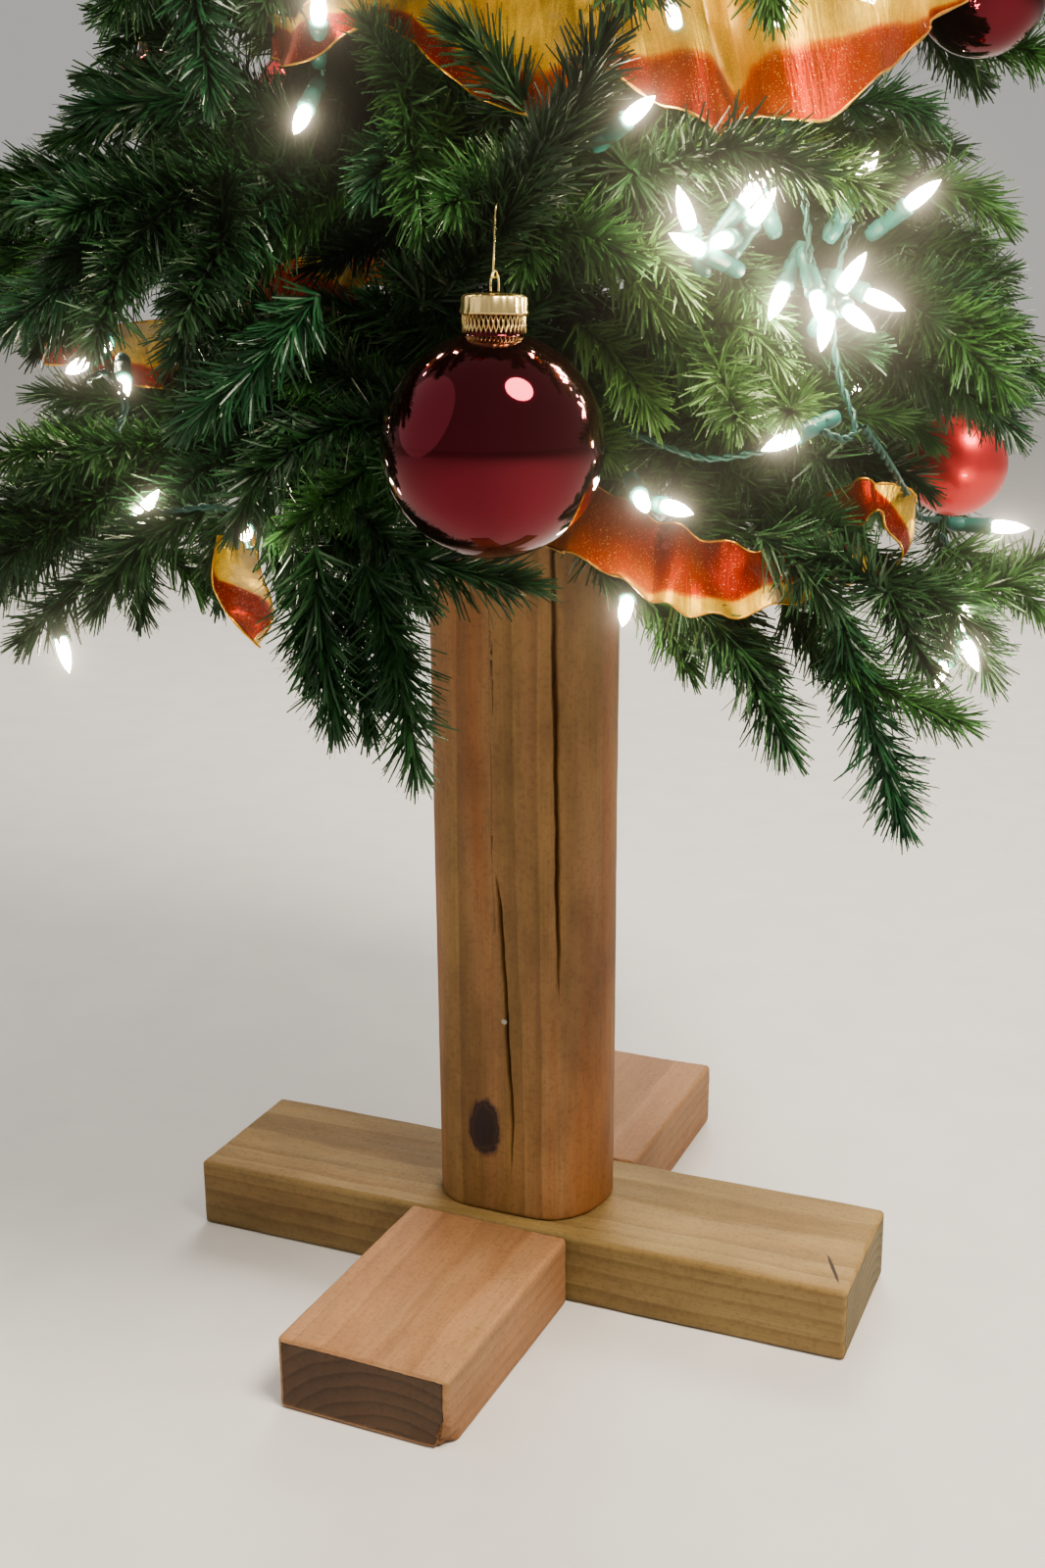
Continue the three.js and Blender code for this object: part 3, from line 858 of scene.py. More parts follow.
NEEDLE = 19.5  # length
BRUSH = 6.2  # needles for each millimetre of tip
NEEDLE_FOOT = 0.7  # from the wire's middle
NEEDLE_HALF = 0.5  # half a needle's width, before it is widened at its foot
DROOP = 0.05  # how far needles hang from their direction
END_ON = 0.66  # a tip is tried again where the cosine of its angle to the camera's direction is above this
MOST_NEEDLES = 95000  # in one piece

# How far up or down its tips end from a bough's middle line: along it, near the pole, and at its end
SIDE_RISES = [0.75, -0.55, 0.1, 0.5, -0.85]
INNER_RISES = [1.05, -0.9, 0.9, 0.2, -0.4, 0.6]
END_RISES = [0.35, -0.4, 0.15, -0.2, 0.45]
MOST_SIDE_TIPS, LEADER_TIPS, INNER_TIPS = 18, 17, 120
# How common each tone is near the pole, and how that changes outwards and to the photograph's right:
# darker tones near the pole as painted shade, lighter ones to the right as painted light
TONE_SHARES = np.array([0.50, 0.26, 0.20, 0.04, 0.16])
TONE_OUTWARD = np.array([-0.18, 0.08, 0.0, 0.10, -0.10])
TONE_PAINTED_LIGHT = np.array([-0.35, 0.45, 0.0, 0.85, -0.8])

needles = {tone: [] for tone in NEEDLE_TONES}
wires = Collector()
tip_ends = []  # for hanging balls on


def needle_strips(start, aim, size):
    """Corners of the needles: strips of film that are narrower at their ends."""
    half = unit(np.cross(aim, rng.normal(size=aim.shape))) * NEEDLE_HALF * MM
    wide = rng.uniform(1.15, 1.65, len(aim))[:, None]
    end = start + aim * size
    return np.stack([start - half * wide, start + half * wide, end + half * 0.5, end - half * 0.5], 1)


def brush(path, tone, length=NEEDLE, density=BRUSH, bare=0.0, splay=46.0, pointed=True):
    """Needles all round a wire, at an angle of splay to it. bare is the share of the wire that has none, from
    its foot. pointed lets them get shorter and lean closer at its end."""
    steps = steps_of(path)
    total = steps.sum() / MM
    count = int(total * density * (1 - bare))
    share = np.sort(rng.uniform(bare, 1, count))
    along = np.interp(share, np.concatenate([[0], np.cumsum(steps)]) / steps.sum(), np.arange(len(path)))
    i = np.minimum(along.astype(int), len(path) - 2)
    f = (along - i)[:, None]
    base = path[i] * (1 - f) + path[i + 1] * f
    axis = unit(np.diff(path, axis=0))[i]
    left = total * (1 - share)  # millimetres from the end
    lean = np.radians(np.clip(splay + rng.normal(0, 13, count), 12, 85))
    if pointed:
        lean *= np.clip(0.30 + left / 20, 0.30, 1.0)
    out = circle(rng.uniform(0, CIRCLE, count), *across_of(axis))
    aim = unit(np.cos(lean)[:, None] * axis + np.sin(lean)[:, None] * out - DROOP * Z)
    size = length * MM * rng.uniform(0.70, 1.15, count)[:, None]
    if pointed:
        size *= np.clip(0.62 + left / 60, 0.62, 1.0)[:, None]
    needles[tone].append(needle_strips(base + NEEDLE_FOOT * MM * out, aim, size))


def add_tip(root, end, tone, bend=0.0, density=BRUSH):
    """One needle-covered tip on its own wire. bend lifts its middle, in millimetres."""
    sway = rng.normal(size=3) * np.linalg.norm(end - root) * 0.045
    path = curve([root, (root + end) / 2 + Z * bend * MM + sway, end], 9)
    brush(path, tone, NEEDLE * rng.uniform(0.85, 1.08), density, splay=rng.uniform(38, 52))
    add_tube(wires, path[::2], 1.0 * MM, 4)
    tip_ends.append(path[-1])


def pick_tone(share, end):
    """A tone for a tip at a share of its bough. Outer tips take the lighter tones more often, leaving the
    darker ones near the pole as painted shade, and tips at the photograph's right side, where its bulbs
    shine, take the lighter ones more often still, as painted light."""
    outer = 0.25 + 0.75 * share
    weights = TONE_SHARES + TONE_OUTWARD * outer
    if in_photo(end, 100):
        painted_light = np.interp(pixel(end)[0], [150, 260, 450, 720], [-1, -0.3, 0.1, 1])
        weights *= 1 + painted_light * TONE_PAINTED_LIGHT
    return rng.choice(list(NEEDLE_TONES), p=weights / weights.sum())


def inner_tone(n, end):
    """Dark tones near the pole as painted shade, and lighter ones where the photograph's lights shine in, as
    painted light.
    """
    lit = in_photo(end) and pixel(end)[0] > 590
    return (("mid", "deep") if lit else ("deep", "shade"))[n % 2]


def try_tip(bough, start, stop, spread, rise, inner=None, density=None):
    """Grows a tip between two shares of a bough. It is tried elsewhere where it would point at the camera,
    cover what stands clear, or stand before the wall. inner is the number of a tip near the pole."""
    sideways, middle, halves, wire = bough
    for attempt in range(12):
        s0 = start + rng.uniform(-0.03, 0.03)
        s1 = stop + rng.uniform(-0.05, 0.05)
        side = spread + rng.uniform(-0.16, 0.16)
        lift = rise + rng.uniform(-0.22, 0.22)
        wide, tall = halves(min(s1, 0.93))
        end = (middle(s1) + sideways * side * wide * 0.85 + Z * lift * tall * 0.8) * MM
        root = wire(s0)
        if attempt < 6 and unit(end - root) @ unit(CAMERA_PLACE - end) > END_ON:
            spread += rng.uniform(-0.6, 0.6)
            rise += rng.uniform(-0.6, 0.35)
            continue
        if in_the_way(root + (end - root) * np.linspace(0.15, 1, 6)[:, None]):
            continue
        if not is_open(end) and not is_open((root + 3 * end) / 4):
            tone = pick_tone(s1, end) if inner is None else inner_tone(inner, end)
            add_tip(root, end, tone, rng.uniform(-2, 12), density or 3.8 + 2.3 * s1)
            return


def grow_bough(tier, index):
    bough = bough_frame(tier, index)
    reach = TIERS[tier][3]
    stem = np.array([bough[-1](s) for s in np.linspace(0.03, FORK, 10)])
    add_tube(wires, stem, np.linspace(1.9, 1.3, len(stem)) * MM, 5)
    brush(stem, "deep", length=18.0, density=3.4, bare=0.12, splay=68.0, pointed=False)
    side_tips = max(4, round(MOST_SIDE_TIPS * reach / MOST_REACH))
    for n in range(side_tips):
        share = n / (side_tips - 1)
        start = 0.06 + (FORK - 0.10) * share
        side = (1 if n % 2 else -1) * (0.45 + 0.5 * ((n * 0.618) % 1))
        try_tip(bough, start, min(start + 0.27 + 0.10 * share, 0.95), side, SIDE_RISES[n % 5])
    for n, rise in enumerate(INNER_RISES):
        try_tip(bough, 0.03 + 0.04 * n, 0.28 + 0.05 * n, rng.uniform(-1.0, 1.0), rise, n, 3.1)
    end_tips = 5 if reach > 200 else 4 if reach > 120 else 3
    for n, rise in enumerate(END_RISES[:end_tips]):
        side = (n / (end_tips - 1) - 0.5) * 1.5
        try_tip(bough, FORK, 0.97 - 0.08 * abs(side), side, rise)


def grow_leader():
    """Upright tips round the pole's end."""
    add_tip(Z * POLE_TOP * MM, Z * TREE_TOP * MM, "mid")
    for n in range(LEADER_TIPS):
        out = heading(n * 2.4)
        foot = 1240 + 7.5 * n
        end = (out * (62 - 2.7 * n) + Z * (foot + 70 + 2.6 * n)) * MM
        add_tip((out * 8 + Z * foot) * MM, end, pick_tone(0.9, end))
    brush(np.array([Z * 1200, Z * 1290, Z * 1370]) * MM, "deep", density=7.0, splay=62.0)


def grow_inner_tips():
    """Short tips deep inside the lower tiers, round the pole."""
    for n in range(INNER_TIPS):
        out = heading(n * 2.39996)
        height = rng.uniform(425, 900)
        root = out * rng.uniform(14, 95) * (1.25 - height / 1400) + Z * height
        lean = np.array([-out[1], out[0], 0]) * rng.normal(0, 38)
        end = root + out * rng.uniform(35, 70) + lean + Z * rng.uniform(-45, 55)
        if not in_the_way(np.array([root, (root + end) / 2, end]) * MM) and not is_open(end * MM):
            add_tip(root * MM, end * MM, inner_tone(n, end * MM), density=4.0)


# Tips that the photograph shows hanging or standing out
SHOWN_TIPS = [
    # root x, y, toward, end x, y, toward, tone, bend; the light and shade tones here are painted light and
    # painted shade
    (905, 606, 175, 822, 562, 190, "deep", 4),
    (430, 250, 110, 530, 275, 120, "deep", 4),
    (560, 270, 100, 480, 235, 110, "deep", 4),
    (720, 470, 80, 790, 520, 95, "mid", 4),
    (830, 470, 80, 780, 545, 95, "deep", 4),
    (330, 540, 110, 400, 585, 125, "deep", 4),
    (345, 590, 180, 378, 742, 190, "deep", 4),
    (296, 560, 160, 330, 655, 168, "deep", 3),
    (270, 520, 150, 292, 600, 155, "deep", 3),
    (240, 520, 120, 215, 585, 125, "deep", 3),
    (160, 560, 110, 205, 600, 120, "mid", 4),
    (360, 520, 150, 430, 610, 165, "deep", 3),
    (640, 500, 100, 690, 600, 118, "deep", 4),
    (700, 500, 90, 760, 590, 112, "mid", 4),
    (760, 500, 90, 820, 585, 112, "deep", 4),
    (600, 540, 80, 640, 600, 100, "deep", 3),
    (720, 590, 130, 790, 690, 145, "deep", 5),
    (830, 600, 120, 880, 705, 135, "mid", 5),
    (800, 610, 120, 840, 680, 125, "deep", 4),
    (880, 560, 100, 965, 655, 118, "blue", 5),
    (950, 580, 90, 1010, 690, 100, "deep", 5),
    (960, 560, 80, 1066, 628, 95, "mid", 5),
    (660, 600, 100, 735, 668, 110, "blue", 4),
    (322, 560, 190, 343, 738, 205, "deep", 4),
    (372, 575, 195, 425, 787, 210, "deep", 5),
    (300, 560, 180, 318, 690, 190, "deep", 3),
    (400, 560, 185, 400, 705, 200, "blue", 3),
    (420, 570, 190, 545, 598, 200, "deep", 4),
    (690, 600, 150, 803, 763, 190, "deep", 8),
    (855, 620, 150, 921, 838, 165, "blue", 6),
    (850, 665, 150, 986, 738, 165, "mid", -6),
    (612, 585, 120, 705, 684, 150, "mid", 6),
    (740, 600, 150, 770, 690, 170, "deep", 3),
    (900, 590, 120, 950, 690, 140, "deep", 3),
    (930, 600, 90, 1075, 562, 110, "mid", -6),
    (880, 590, 110, 1000, 640, 130, "deep", 6),
    (930, 190, 60, 1022, 222, 70, "mid", 5),
    (930, 260, 60, 1012, 300, 70, "mid", 5),
    (940, 330, 70, 1060, 385, 80, "mid", 5),
    (940, 400, 70, 1035, 440, 80, "blue", 5),
    (860, 110, 60, 955, 130, 70, "blue", 5),
    (980, 45, 0, 1075, 62, 10, "mid", 5),
    (596, 246, 176, 676, 322, 196, "light", 4),
    (628, 300, 176, 716, 386, 194, "mid", 6),
    (590, 330, 170, 668, 424, 192, "light", 6),
    (690, 372, 170, 776, 420, 192, "mid", 5),
    (566, 236, 186, 640, 262, 204, "mid", 3),
    (650, 250, 180, 700, 300, 200, "light", 4),
    (720, 330, 176, 800, 372, 194, "light", 4),
    (440, 536, 96, 414, 602, 116, "shade", 3),
    (382, 528, 80, 396, 598, 95, "shade", 3),
    (350, 540, 90, 362, 604, 105, "shade", 3),
    (508, 236, 222, 619, 30, 228, "shade", -8),
    (486, 270, 214, 566, 112, 230, "shade", -4),
    (455, 300, 200, 520, 176, 226, "shade", 0),
    (430, 316, 185, 486, 232, 212, "shade", 0),
    (540, 118, 190, 462, 28, 196, "deep", 4),
    (420, 90, 150, 372, 20, 170, "deep", 3),
    (892, 428, 60, 950, 452, 66, "mid", 2),
    (880, 470, 40, 948, 500, 46, "deep", 2),
    (236, 320, 120, 198, 402, 160, "shade", 3),
    (120, 300, 110, 40, 352, 140, "shade", 4),
    (770, 545, 176, 846, 612, 186, "deep", 3),
    (800, 520, 120, 872, 548, 160, "deep", 3),
    (325, 300, 190, 190, 430, 205, "blue", 6),
    (300, 420, 195, 240, 540, 205, "deep", 4),
    (150, 540, 120, 22, 655, 130, "deep", 6),
    (210, 520, 130, 95, 620, 150, "deep", 6),
    (60, 520, 110, -40, 620, 110, "deep", 6),
    (200, 60, 60, 105, 12, 70, "deep", 5),
    (190, 130, 70, 62, 142, 80, "deep", 5),
    (150, 200, 90, 5, 216, 100, "deep", 5),
]
# Tips that hang on the sides that the photograph doesn't show: bough of the lowest tier, and place beside it
SIDE_TIPS = [(2, 0.5), (3, -0.4), (4, 0.3), (5, -0.5), (5, 0.4), (3, 0.5)]

for tier, (_, boughs, *_) in enumerate(TIERS):
    for index in range(boughs):
        grow_bough(tier, index)
grow_leader()
grow_inner_tips()
for *places, tone, bend in SHOWN_TIPS:
    add_tip(seen(*places[:3]), seen(*places[3:]), tone, bend)
for index, side in SIDE_TIPS:
    sideways, middle, *_ = bough_frame(0, index)
    root = middle(0.72) + sideways * side * 60
    end = root - Z * rng.uniform(85, 115) + sideways * side * 20
    add_tip(root * MM, end * MM, "deep")

FOLIAGE = [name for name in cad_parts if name.startswith(("foliage", "tip_"))]
for tone, groups in needles.items():
    strips = np.concatenate(groups)
    for part, chunk in enumerate(np.array_split(strips, math.ceil(len(strips) / MOST_NEEDLES)), 1):
        faces = np.arange(len(chunk) * 4).reshape(-1, 4)
        piece = mesh_object(f"needles_{tone}_{part}", chunk, faces, [NEEDLE_TONES[tone]],
                            smooth=False)
        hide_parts(*FOLIAGE)
wires.build("bough_wires", [WIRE], "needles")


# Ornaments

balls, caps, hooks = Collector(), Collector(), Collector()
GLASS, SATIN = 0, 1
# The balls that the photograph shows: pixel, distance before the pole, radius, kind, tilt, hook and segments
SHOWN_BALLS = [
    (502.5, 455, 232, 40.0, GLASS, (0.02, 0.01), 20, 64),
    (975, 474, 5, 24.5, SATIN, (0.10, 0.02), 16, 44),
    (1003, -12, 25, 29.0, GLASS, (0.0, 0.03), 22, 48),
    (157, 92, -30, 19.0, GLASS, (-0.05, 0.0), 14, 28),
]
BALL_SIZES = [29.0, 24.5, 27.0, 21.0]
BALLS, LOWEST_BALL, HIGHEST_BALL = 30, 375, 1330
BALLS_APART = 125
RIB_DEPTHS = (0.0, 0.02, 0.03, 0.03, 0.02, 0.01, 0.0, 0.0)


def add_crown(centre, up, radius, low, high, points):
    """The pierced rim of a cap: two wires that cross each other between two heights, in millimetres."""
    turn = np.linspace(0, CIRCLE, points * 4 + 1)
    ring = circle(turn, *across_of(up))
    for phase in (0, math.pi):
        height = (low + high) / 2 + (high - low) / 2 * np.cos(turn * points + phase)
        add_tube(caps, centre + (ring * radius + up * height[:, None]) * MM, 0.042 * radius * MM, 4)


def add_hook(foot, up, loop, reach):
    """A wire loop on a cap, and the hook in it that goes up into the needles, with their sizes in
    millimetres."""
    first = across_of(up)[0][0]
    t = np.linspace(-0.35, math.pi + 0.35, 15)[:, None]
    line = foot + (first * np.cos(t) * loop * 0.5 + up * (loop * 0.35 + np.sin(t) * loop * 0.7)) * MM
    add_tube(hooks, line, 0.45 * MM, 6)
    top = foot + up * loop * MM
    shape = [(1.5, -1.5), (-0.5, -1.8), (-1.5, 0), (0, reach * 0.5), (1.0, reach), (4.0, reach + 3),
             (7.0, reach * 0.9)]
    line = curve([top + (first * across + Z * rise) * MM for across, rise in shape], 26)
    add_tube(hooks, line, 0.4 * MM, 5)


def add_ball(centre, radius, kind, tilt, hook, segments=28):
    """A glass ball with its neck, a ribbed cap with a pierced rim, a wire loop and a hook. radius and hook in
    millimetres."""
    up = unit(Z + np.array([*tilt, 0]))
    fine = segments > 40
    cap = max(5.5, 0.29 * radius)
    top = math.acos(min(0.9, (cap - 1.4) / radius))
    neck = radius * math.sin(top)
    foot = neck + 0.55 * cap
    tall = 0.62 * cap
    angles = np.linspace(-math.pi / 2 + 0.01, top, segments // 2 + 5)
    profile = [(radius * math.cos(a), radius * math.sin(a)) for a in angles]
    profile += [(cap - 0.9, neck + 0.7), (cap - 1.5, neck + 1.5), (cap - 1.5, foot + 1.0)]
    add_lathe(balls, profile, centre, up, segments, kind)
    shape = [(cap - 1.2, -0.02), (cap + 0.1, 0.0), (cap + 0.3, 0.12), (cap - 0.1, 0.30), (cap - 0.1, 0.80),
             (cap * 0.90, 0.95), (cap * 0.60, 1.02), (0.1, 1.04)]
    ribs = 18 if fine else 9

    def ribbed(angles, row):
        return 1 + RIB_DEPTHS[row] * np.cos(angles * ribs)

    add_lathe(caps, [(r, foot + h * tall) for r, h in shape], centre, up, ribs * 4, wave=ribbed)
    add_crown(centre, up, cap - 0.7, neck + 0.04 * cap, foot + 0.3, 20 if fine else 12)
    add_hook(centre + up * (foot + tall) * MM, up, 0.18 * radius if radius > 30 else 4.0, hook)


def free_for_ball(place, hung):
    """Whether a guessed ball can hang there: not too low, out of the photograph, and apart from others."""
    shown = in_photo(place, 110) or in_photo(place, 30, 190) or is_open(place)
    apart = min(np.linalg.norm(place - other) for other in hung) > BALLS_APART * MM
    return place[2] > LOWEST_BALL * MM and not shown and apart


def hang_balls():
    """The balls of the photograph, and guessed ones below seeded tips at the crown's outside."""
    hung = []
    for x, y, toward, *shape in SHOWN_BALLS:
        hung.append(seen(x, y, toward))
        add_ball(hung[-1], *shape)
    for end in np.array(tip_ends)[rng.permutation(len(tip_ends))]:
        height = end[2] / MM
        inner = np.hypot(*end[:2]) / MM < 0.80 * crown_reach(height, 1)
        if inner or height > HIGHEST_BALL or len(hung) == BALLS:
            continue
        radius = BALL_SIZES[len(hung) % 4] * (1.0 if height < 900 else 0.82)
        place = end - Z * (radius + 24) * MM - unit(end * [1, 1, 0]) * 6 * MM
        if free_for_ball(place, hung):
            hung.append(place)
            add_ball(place, radius, GLASS if len(hung) % 3 else SATIN, rng.normal(0, 0.05, 2), 15)


hang_balls()
balls.build("ornament_balls", [BALL_RED, BALL_SATIN], "ornament")
caps.build("ornament_caps", [CAP_GOLD], "ornament_cap")
hooks.build("ornament_hooks", [CAP_GOLD], "ornament_cap")


# Lights: clear pointed bulbs in green sockets on a twisted string

lamps, sockets, strings = Collector(), Collector(), Collector()
LAMP_PROFILE = [(2.2, 0), (2.7, 1.5), (2.9, 4), (2.75, 7), (2.3, 10), (1.6, 12.5), (0.9, 14.2), (0.35, 15.3),
                (0.02, 16.0)]
SOCKET_PROFILE = [(1.4, -20), (2.6, -19.4), (3.3, -17), (3.4, -13), (3.1, -12.4), (3.1, -11.2), (3.5, -10.6),
                  (3.6, -3), (3.9, -2.4), (4.0, -0.6), (3.6, 0), (2.4, 0.3)]
SOCKET_LENGTH = 20
STRAND, TWIST = 1.0, 13.0  # from the string's middle to each wire's, and the length of one turn
STRING_TURNS, STRING_STEP = 6.2, 0.30  # turns round the crown, and radians from point to point
STRING_TOP, STRING_DROP = 1330, 930
FADE = 18  # points in which a cut string goes in to half its radius
SHORTEST_STRING, SHORTEST_GARLAND = 40, 5  # runs with no more points than this are left out
LIGHT_SPACING = 0.088  # metres

# Bulbs that the photograph shows: pixel, distance before the pole, and where each points on the picture,
# across, above and towards the camera
SHOWN_LIGHTS = [
    (716, 256, 204, -0.7, 0.2, 0.5), (758, 208, 200, 0.5, 0.6, 0.4), (800, 292, 188, -0.4, -0.9, 0.3),
    (884, 300, 182, 0.9, -0.5, 0.3), (62, 652, 104, 0.3, -1.0, 0.2), (250, 541, 162, 0.15, -0.35, 0.9),
    (126, 388, 118, 0.2, -0.7, 0.8), (86, 370, 92, -0.3, -0.5, 0.9), (108, 350, 88, 0.2, -0.4, 0.9),
    (325, 22, 165, 0.1, 0.5, 0.9), (312, 112, 162, -0.2, -0.8, 0.6), (640, 122, 196, 0.5, 0.2, 0.7),
    (776, 188, 190, -0.3, 0.8, 0.3), (742, 244, 204, -0.4, -0.3, 0.7), (872, 196, 185, 0.4, 0.7, 0.3),
    (926, 210, 158, 0.8, 0.5, 0.8), (832, 300, 194, 0.2, -0.9, 0.3), (858, 296, 194, 0.4, 0.6, 0.4),
    (845, 322, 198, -0.2, -0.8, 0.3), (812, 444, 202, -0.8, -0.4, 0.3), (640, 612, 156, -0.2, -0.9, 0.8),
    (985, 655, 116, 0.2, -0.8, 0.5), (1012, 537, 80, 0.9, -0.1, 0.3), (652, 506, 188, 0.15, -0.55, 0.9),
    (794, 24, 150, 0.1, 0.5, 0.9), (690, 26, 148, -0.3, 0.4, 0.9), (884, 4, 140, 0.3, 0.8, 0.2),
    (140, 530, 118, 0.5, 0.6, 0.2), (704, 232, 198, -0.3, 0.7, 0.5), (768, 226, 200, 0.4, 0.5, 0.7),
    (864, 316, 198, 0.5, -0.6, 0.5), (964, 678, 112, -0.5, -0.8, 0.3), (678, 516, 186, 0.6, -0.3, 0.7),
    (984, 640, 118, -0.2, 0.5, 0.8),
]
# Wires that the photograph shows between them
SHOWN_STRINGS = [
    [(800, 120, 185), (812, 165, 190), (822, 215, 192), (826, 262, 190), (834, 285, 190)],
    [(868, 225, 175), (858, 262, 185), (850, 330, 190), (856, 385, 192), (872, 432, 198), (862, 448, 200),
     (838, 440, 200)],
    [(880, 435, 196), (905, 470, 170), (925, 505, 120), (938, 528, 90), (958, 530, 78)],
    [(640, 440, 150), (680, 456, 155), (720, 468, 160), (770, 462, 170), (812, 452, 190)],
    [(255, 560, 165), (235, 520, 150), (180, 520, 140), (150, 525, 130), (110, 540, 110)],
    [(60, 640, 100), (70, 600, 95), (110, 560, 95), (150, 530, 120)],
    [(320, 40, 148), (330, 75, 140), (326, 100, 146)],
    [(985, 640, 108), (990, 600, 90), (975, 570, 80), (960, 545, 76)],
    [(86, 390, 136), (110, 380, 130), (128, 410, 145), (120, 440, 130)],
]


def add_light(place, aim):
    """A bulb that ends in the direction aim. place is where it leaves its socket."""
    add_lathe(lamps, LAMP_PROFILE, place, aim, 10)
    add_lathe(sockets, SOCKET_PROFILE, place, aim, 12)


def add_string(points):
    """Two insulated wires twisted round each other along a smooth line."""
    length = steps_of(points).sum() / MM
    count = max(6, int(length / 3.2))
    line = curve(points, count)
    sides = across_of(unit(np.gradient(line, axis=0)))
    angle = np.linspace(0, CIRCLE * length / TWIST, count)
    for phase in (0, math.pi):
        add_tube(strings, line + circle(angle + phase, *sides) * STRAND * MM, 0.85 * MM, 5)


def hidden_runs(points, margin):
    """Runs of following points, by their numbers, that the photograph doesn't show."""
    hidden = np.array([not in_photo(point, margin) for point in points])
    runs = np.split(np.arange(len(points)), np.where(np.diff(hidden.astype(int)) != 0)[0] + 1)
    return [run for run in runs if hidden[run[0]]]


def string_path():
    """A line that winds round the crown from the top down."""
    path = []
    for n in range(int(STRING_TURNS * CIRCLE / STRING_STEP)):
        share = n * STRING_STEP / (STRING_TURNS * CIRCLE)
        height = STRING_TOP - STRING_DROP * share ** 0.94
        reach = crown_reach(height, 0.5, (STRING_TOP, 40))
        radius = reach * (0.80 + 0.10 * math.sin(n * 1.9)) + rng.normal(0, 5)
        turn = n * STRING_STEP + 1.1
        path.append((heading(turn) * radius + Z * (height + 14 * math.sin(n * 2.3))) * MM)
    return curve(path, len(path) * 12)


def wind_string():
    """The guessed string with its bulbs, where the photograph doesn't show it."""
    path = string_path()
    for run in hidden_runs(path, -20):
        if len(run) > SHORTEST_STRING:
            line = path[run]
            inward = np.linspace(0.5, 1.0, FADE)[:, None]
            line[:FADE, :2] *= inward
            line[-FADE:, :2] *= inward[::-1]
            add_string(line[::6])
    distance = np.concatenate([[0], np.cumsum(steps_of(path))])
    for at in np.arange(0.06, distance[-1], LIGHT_SPACING):
        place = path[np.searchsorted(distance, at)]
        if in_photo(place, -20):
            continue
        aim = unit(unit(place * [1, 1, 0]) * rng.uniform(0.5, 1.2) + rng.normal(size=3) * 0.5)
        tip = place + aim * 30 * MM
        if not is_open(tip) and not in_photo(tip, 60, 100):
            add_light(place + aim * SOCKET_LENGTH * MM, aim)


for x, y, toward, across, above, near in SHOWN_LIGHTS:
    aim = unit(across * CAMERA_RIGHT - above * CAMERA_DOWN - near * CAMERA_FORWARD)
    add_light(seen(x, y, toward), aim)
for line in SHOWN_STRINGS:
    add_string([seen(*place) for place in line])
wind_string()
lamps.build("light_bulbs", [LAMP], "light_bulb")
sockets.build("light_sockets", [SOCKET_GREEN], "light_wire")
strings.build("light_strings", [CORD_GREEN], "light_wire")


# Ribbon: sheer, wired at its edges, half gold and half orange-red

ribbon = Collector()
ribbon_places = []  # for each point, metres along the ribbon and across it from the gold's edge
CLOTH, TRIM = 0, 1
RIBBON_WIDTH = 63.0
GARLAND_TURNS, GARLAND_STEPS = 5.0, 130
GARLAND_TOP, GARLAND_DROP = 1300, 850
TUCK = [0.42, 0.66, 0.88]  # how far out the last places of a cut run are, from its end

SHOWN_RIBBONS = [
    # places along it, with x, y and distance before the pole of both edges, and the share that is gold there
    # the upper band, left to right
    ([(262, 10, 120, 266, 56, 128), (300, 18, 150, 304, 70, 158), (345, 0, 150, 350, 44, 160),
      (400, -8, 130, 410, 40, 150), (440, -4, 140, 440, 62, 160), (490, -22, 165, 482, 96, 185),
      (560, -50, 180, 545, 108, 200), (620, -60, 185, 612, 66, 200)],
     [0.2, 0.3, 0.5, 0.5, 0.62, 0.66, 0.76, 0.85]),
    ([(575, -30, 150, 612, 70, 190), (640, -60, 165, 676, 100, 205), (700, -70, 172, 742, 126, 216),
      (722, -66, 150, 758, 118, 196), (800, -60, 170, 832, 130, 212), (880, -50, 155, 900, 76, 190),
      (960, -70, 130, 952, 30, 150), (1000, -90, 90, 990, 0, 110)],
     [0.85, 0.66, 0.62, 0.90, 0.60, 0.64, 0.86, 0.95]),
    # the lower band, from behind the ball to the right: its gold edge is the lower one
    ([(556, 556, 95, 560, 530, 80), (588, 570, 150, 600, 500, 125), (645, 600, 172, 650, 520, 145),
      (700, 618, 178, 700, 534, 152), (765, 624, 178, 756, 556, 156), (838, 610, 168, 806, 566, 150),
      (890, 588, 120, 850, 550, 100), (920, 575, 60, 890, 545, 50)],
     [-0.15, -0.1, 0.05, 0.2, 0.28, 0.34, 0.45, 0.5]),
    # a loop at its right end
    ([(836, 505, 100, 852, 545, 118), (862, 490, 122, 872, 528, 136), (896, 486, 128, 902, 520, 142),
      (922, 500, 118, 914, 548, 134), (930, 530, 104, 904, 572, 122)], [-0.1, -0.1, 0.0, 0.6, 0.9]),
    # the tail at the left
    ([(256, 538, 130, 222, 545, 130), (262, 575, 150, 212, 584, 150), (274, 608, 158, 226, 618, 158),
      (274, 634, 162, 244, 640, 162), (268, 654, 165, 262, 660, 165)], [1.15, 0.9, 0.1, -0.1, 1.6]),
    # the piece at the left
    ([(40, 352, 16, 48, 372, 20), (84, 344, 26, 92, 376, 32), (126, 334, 40, 132, 392, 46),
      (176, 322, 50, 177, 396, 56), (212, 322, 24, 206, 384, 28)], [-0.3, 0.0, 0.6, 0.8, 0.8]),
]


def ruffles(place, t):
    """How far each point stands out of a ribbon's surface, from its places along the ribbon and across it."""
    phase = rng.uniform(0, 6.28, 4)
    return (np.sin(place / 9.5 + phase[0])[:, None] * np.sin(math.pi * t)[None] * 0.8
            + np.sin(place / 5.2 + phase[1])[:, None] * (1 - t)[None] ** 2 * 0.7
            + np.sin(place / 6.1 + phase[2])[:, None] * t[None] ** 2 * 0.7
            + np.sin(place / 27 + phase[3])[:, None] * 1.2)


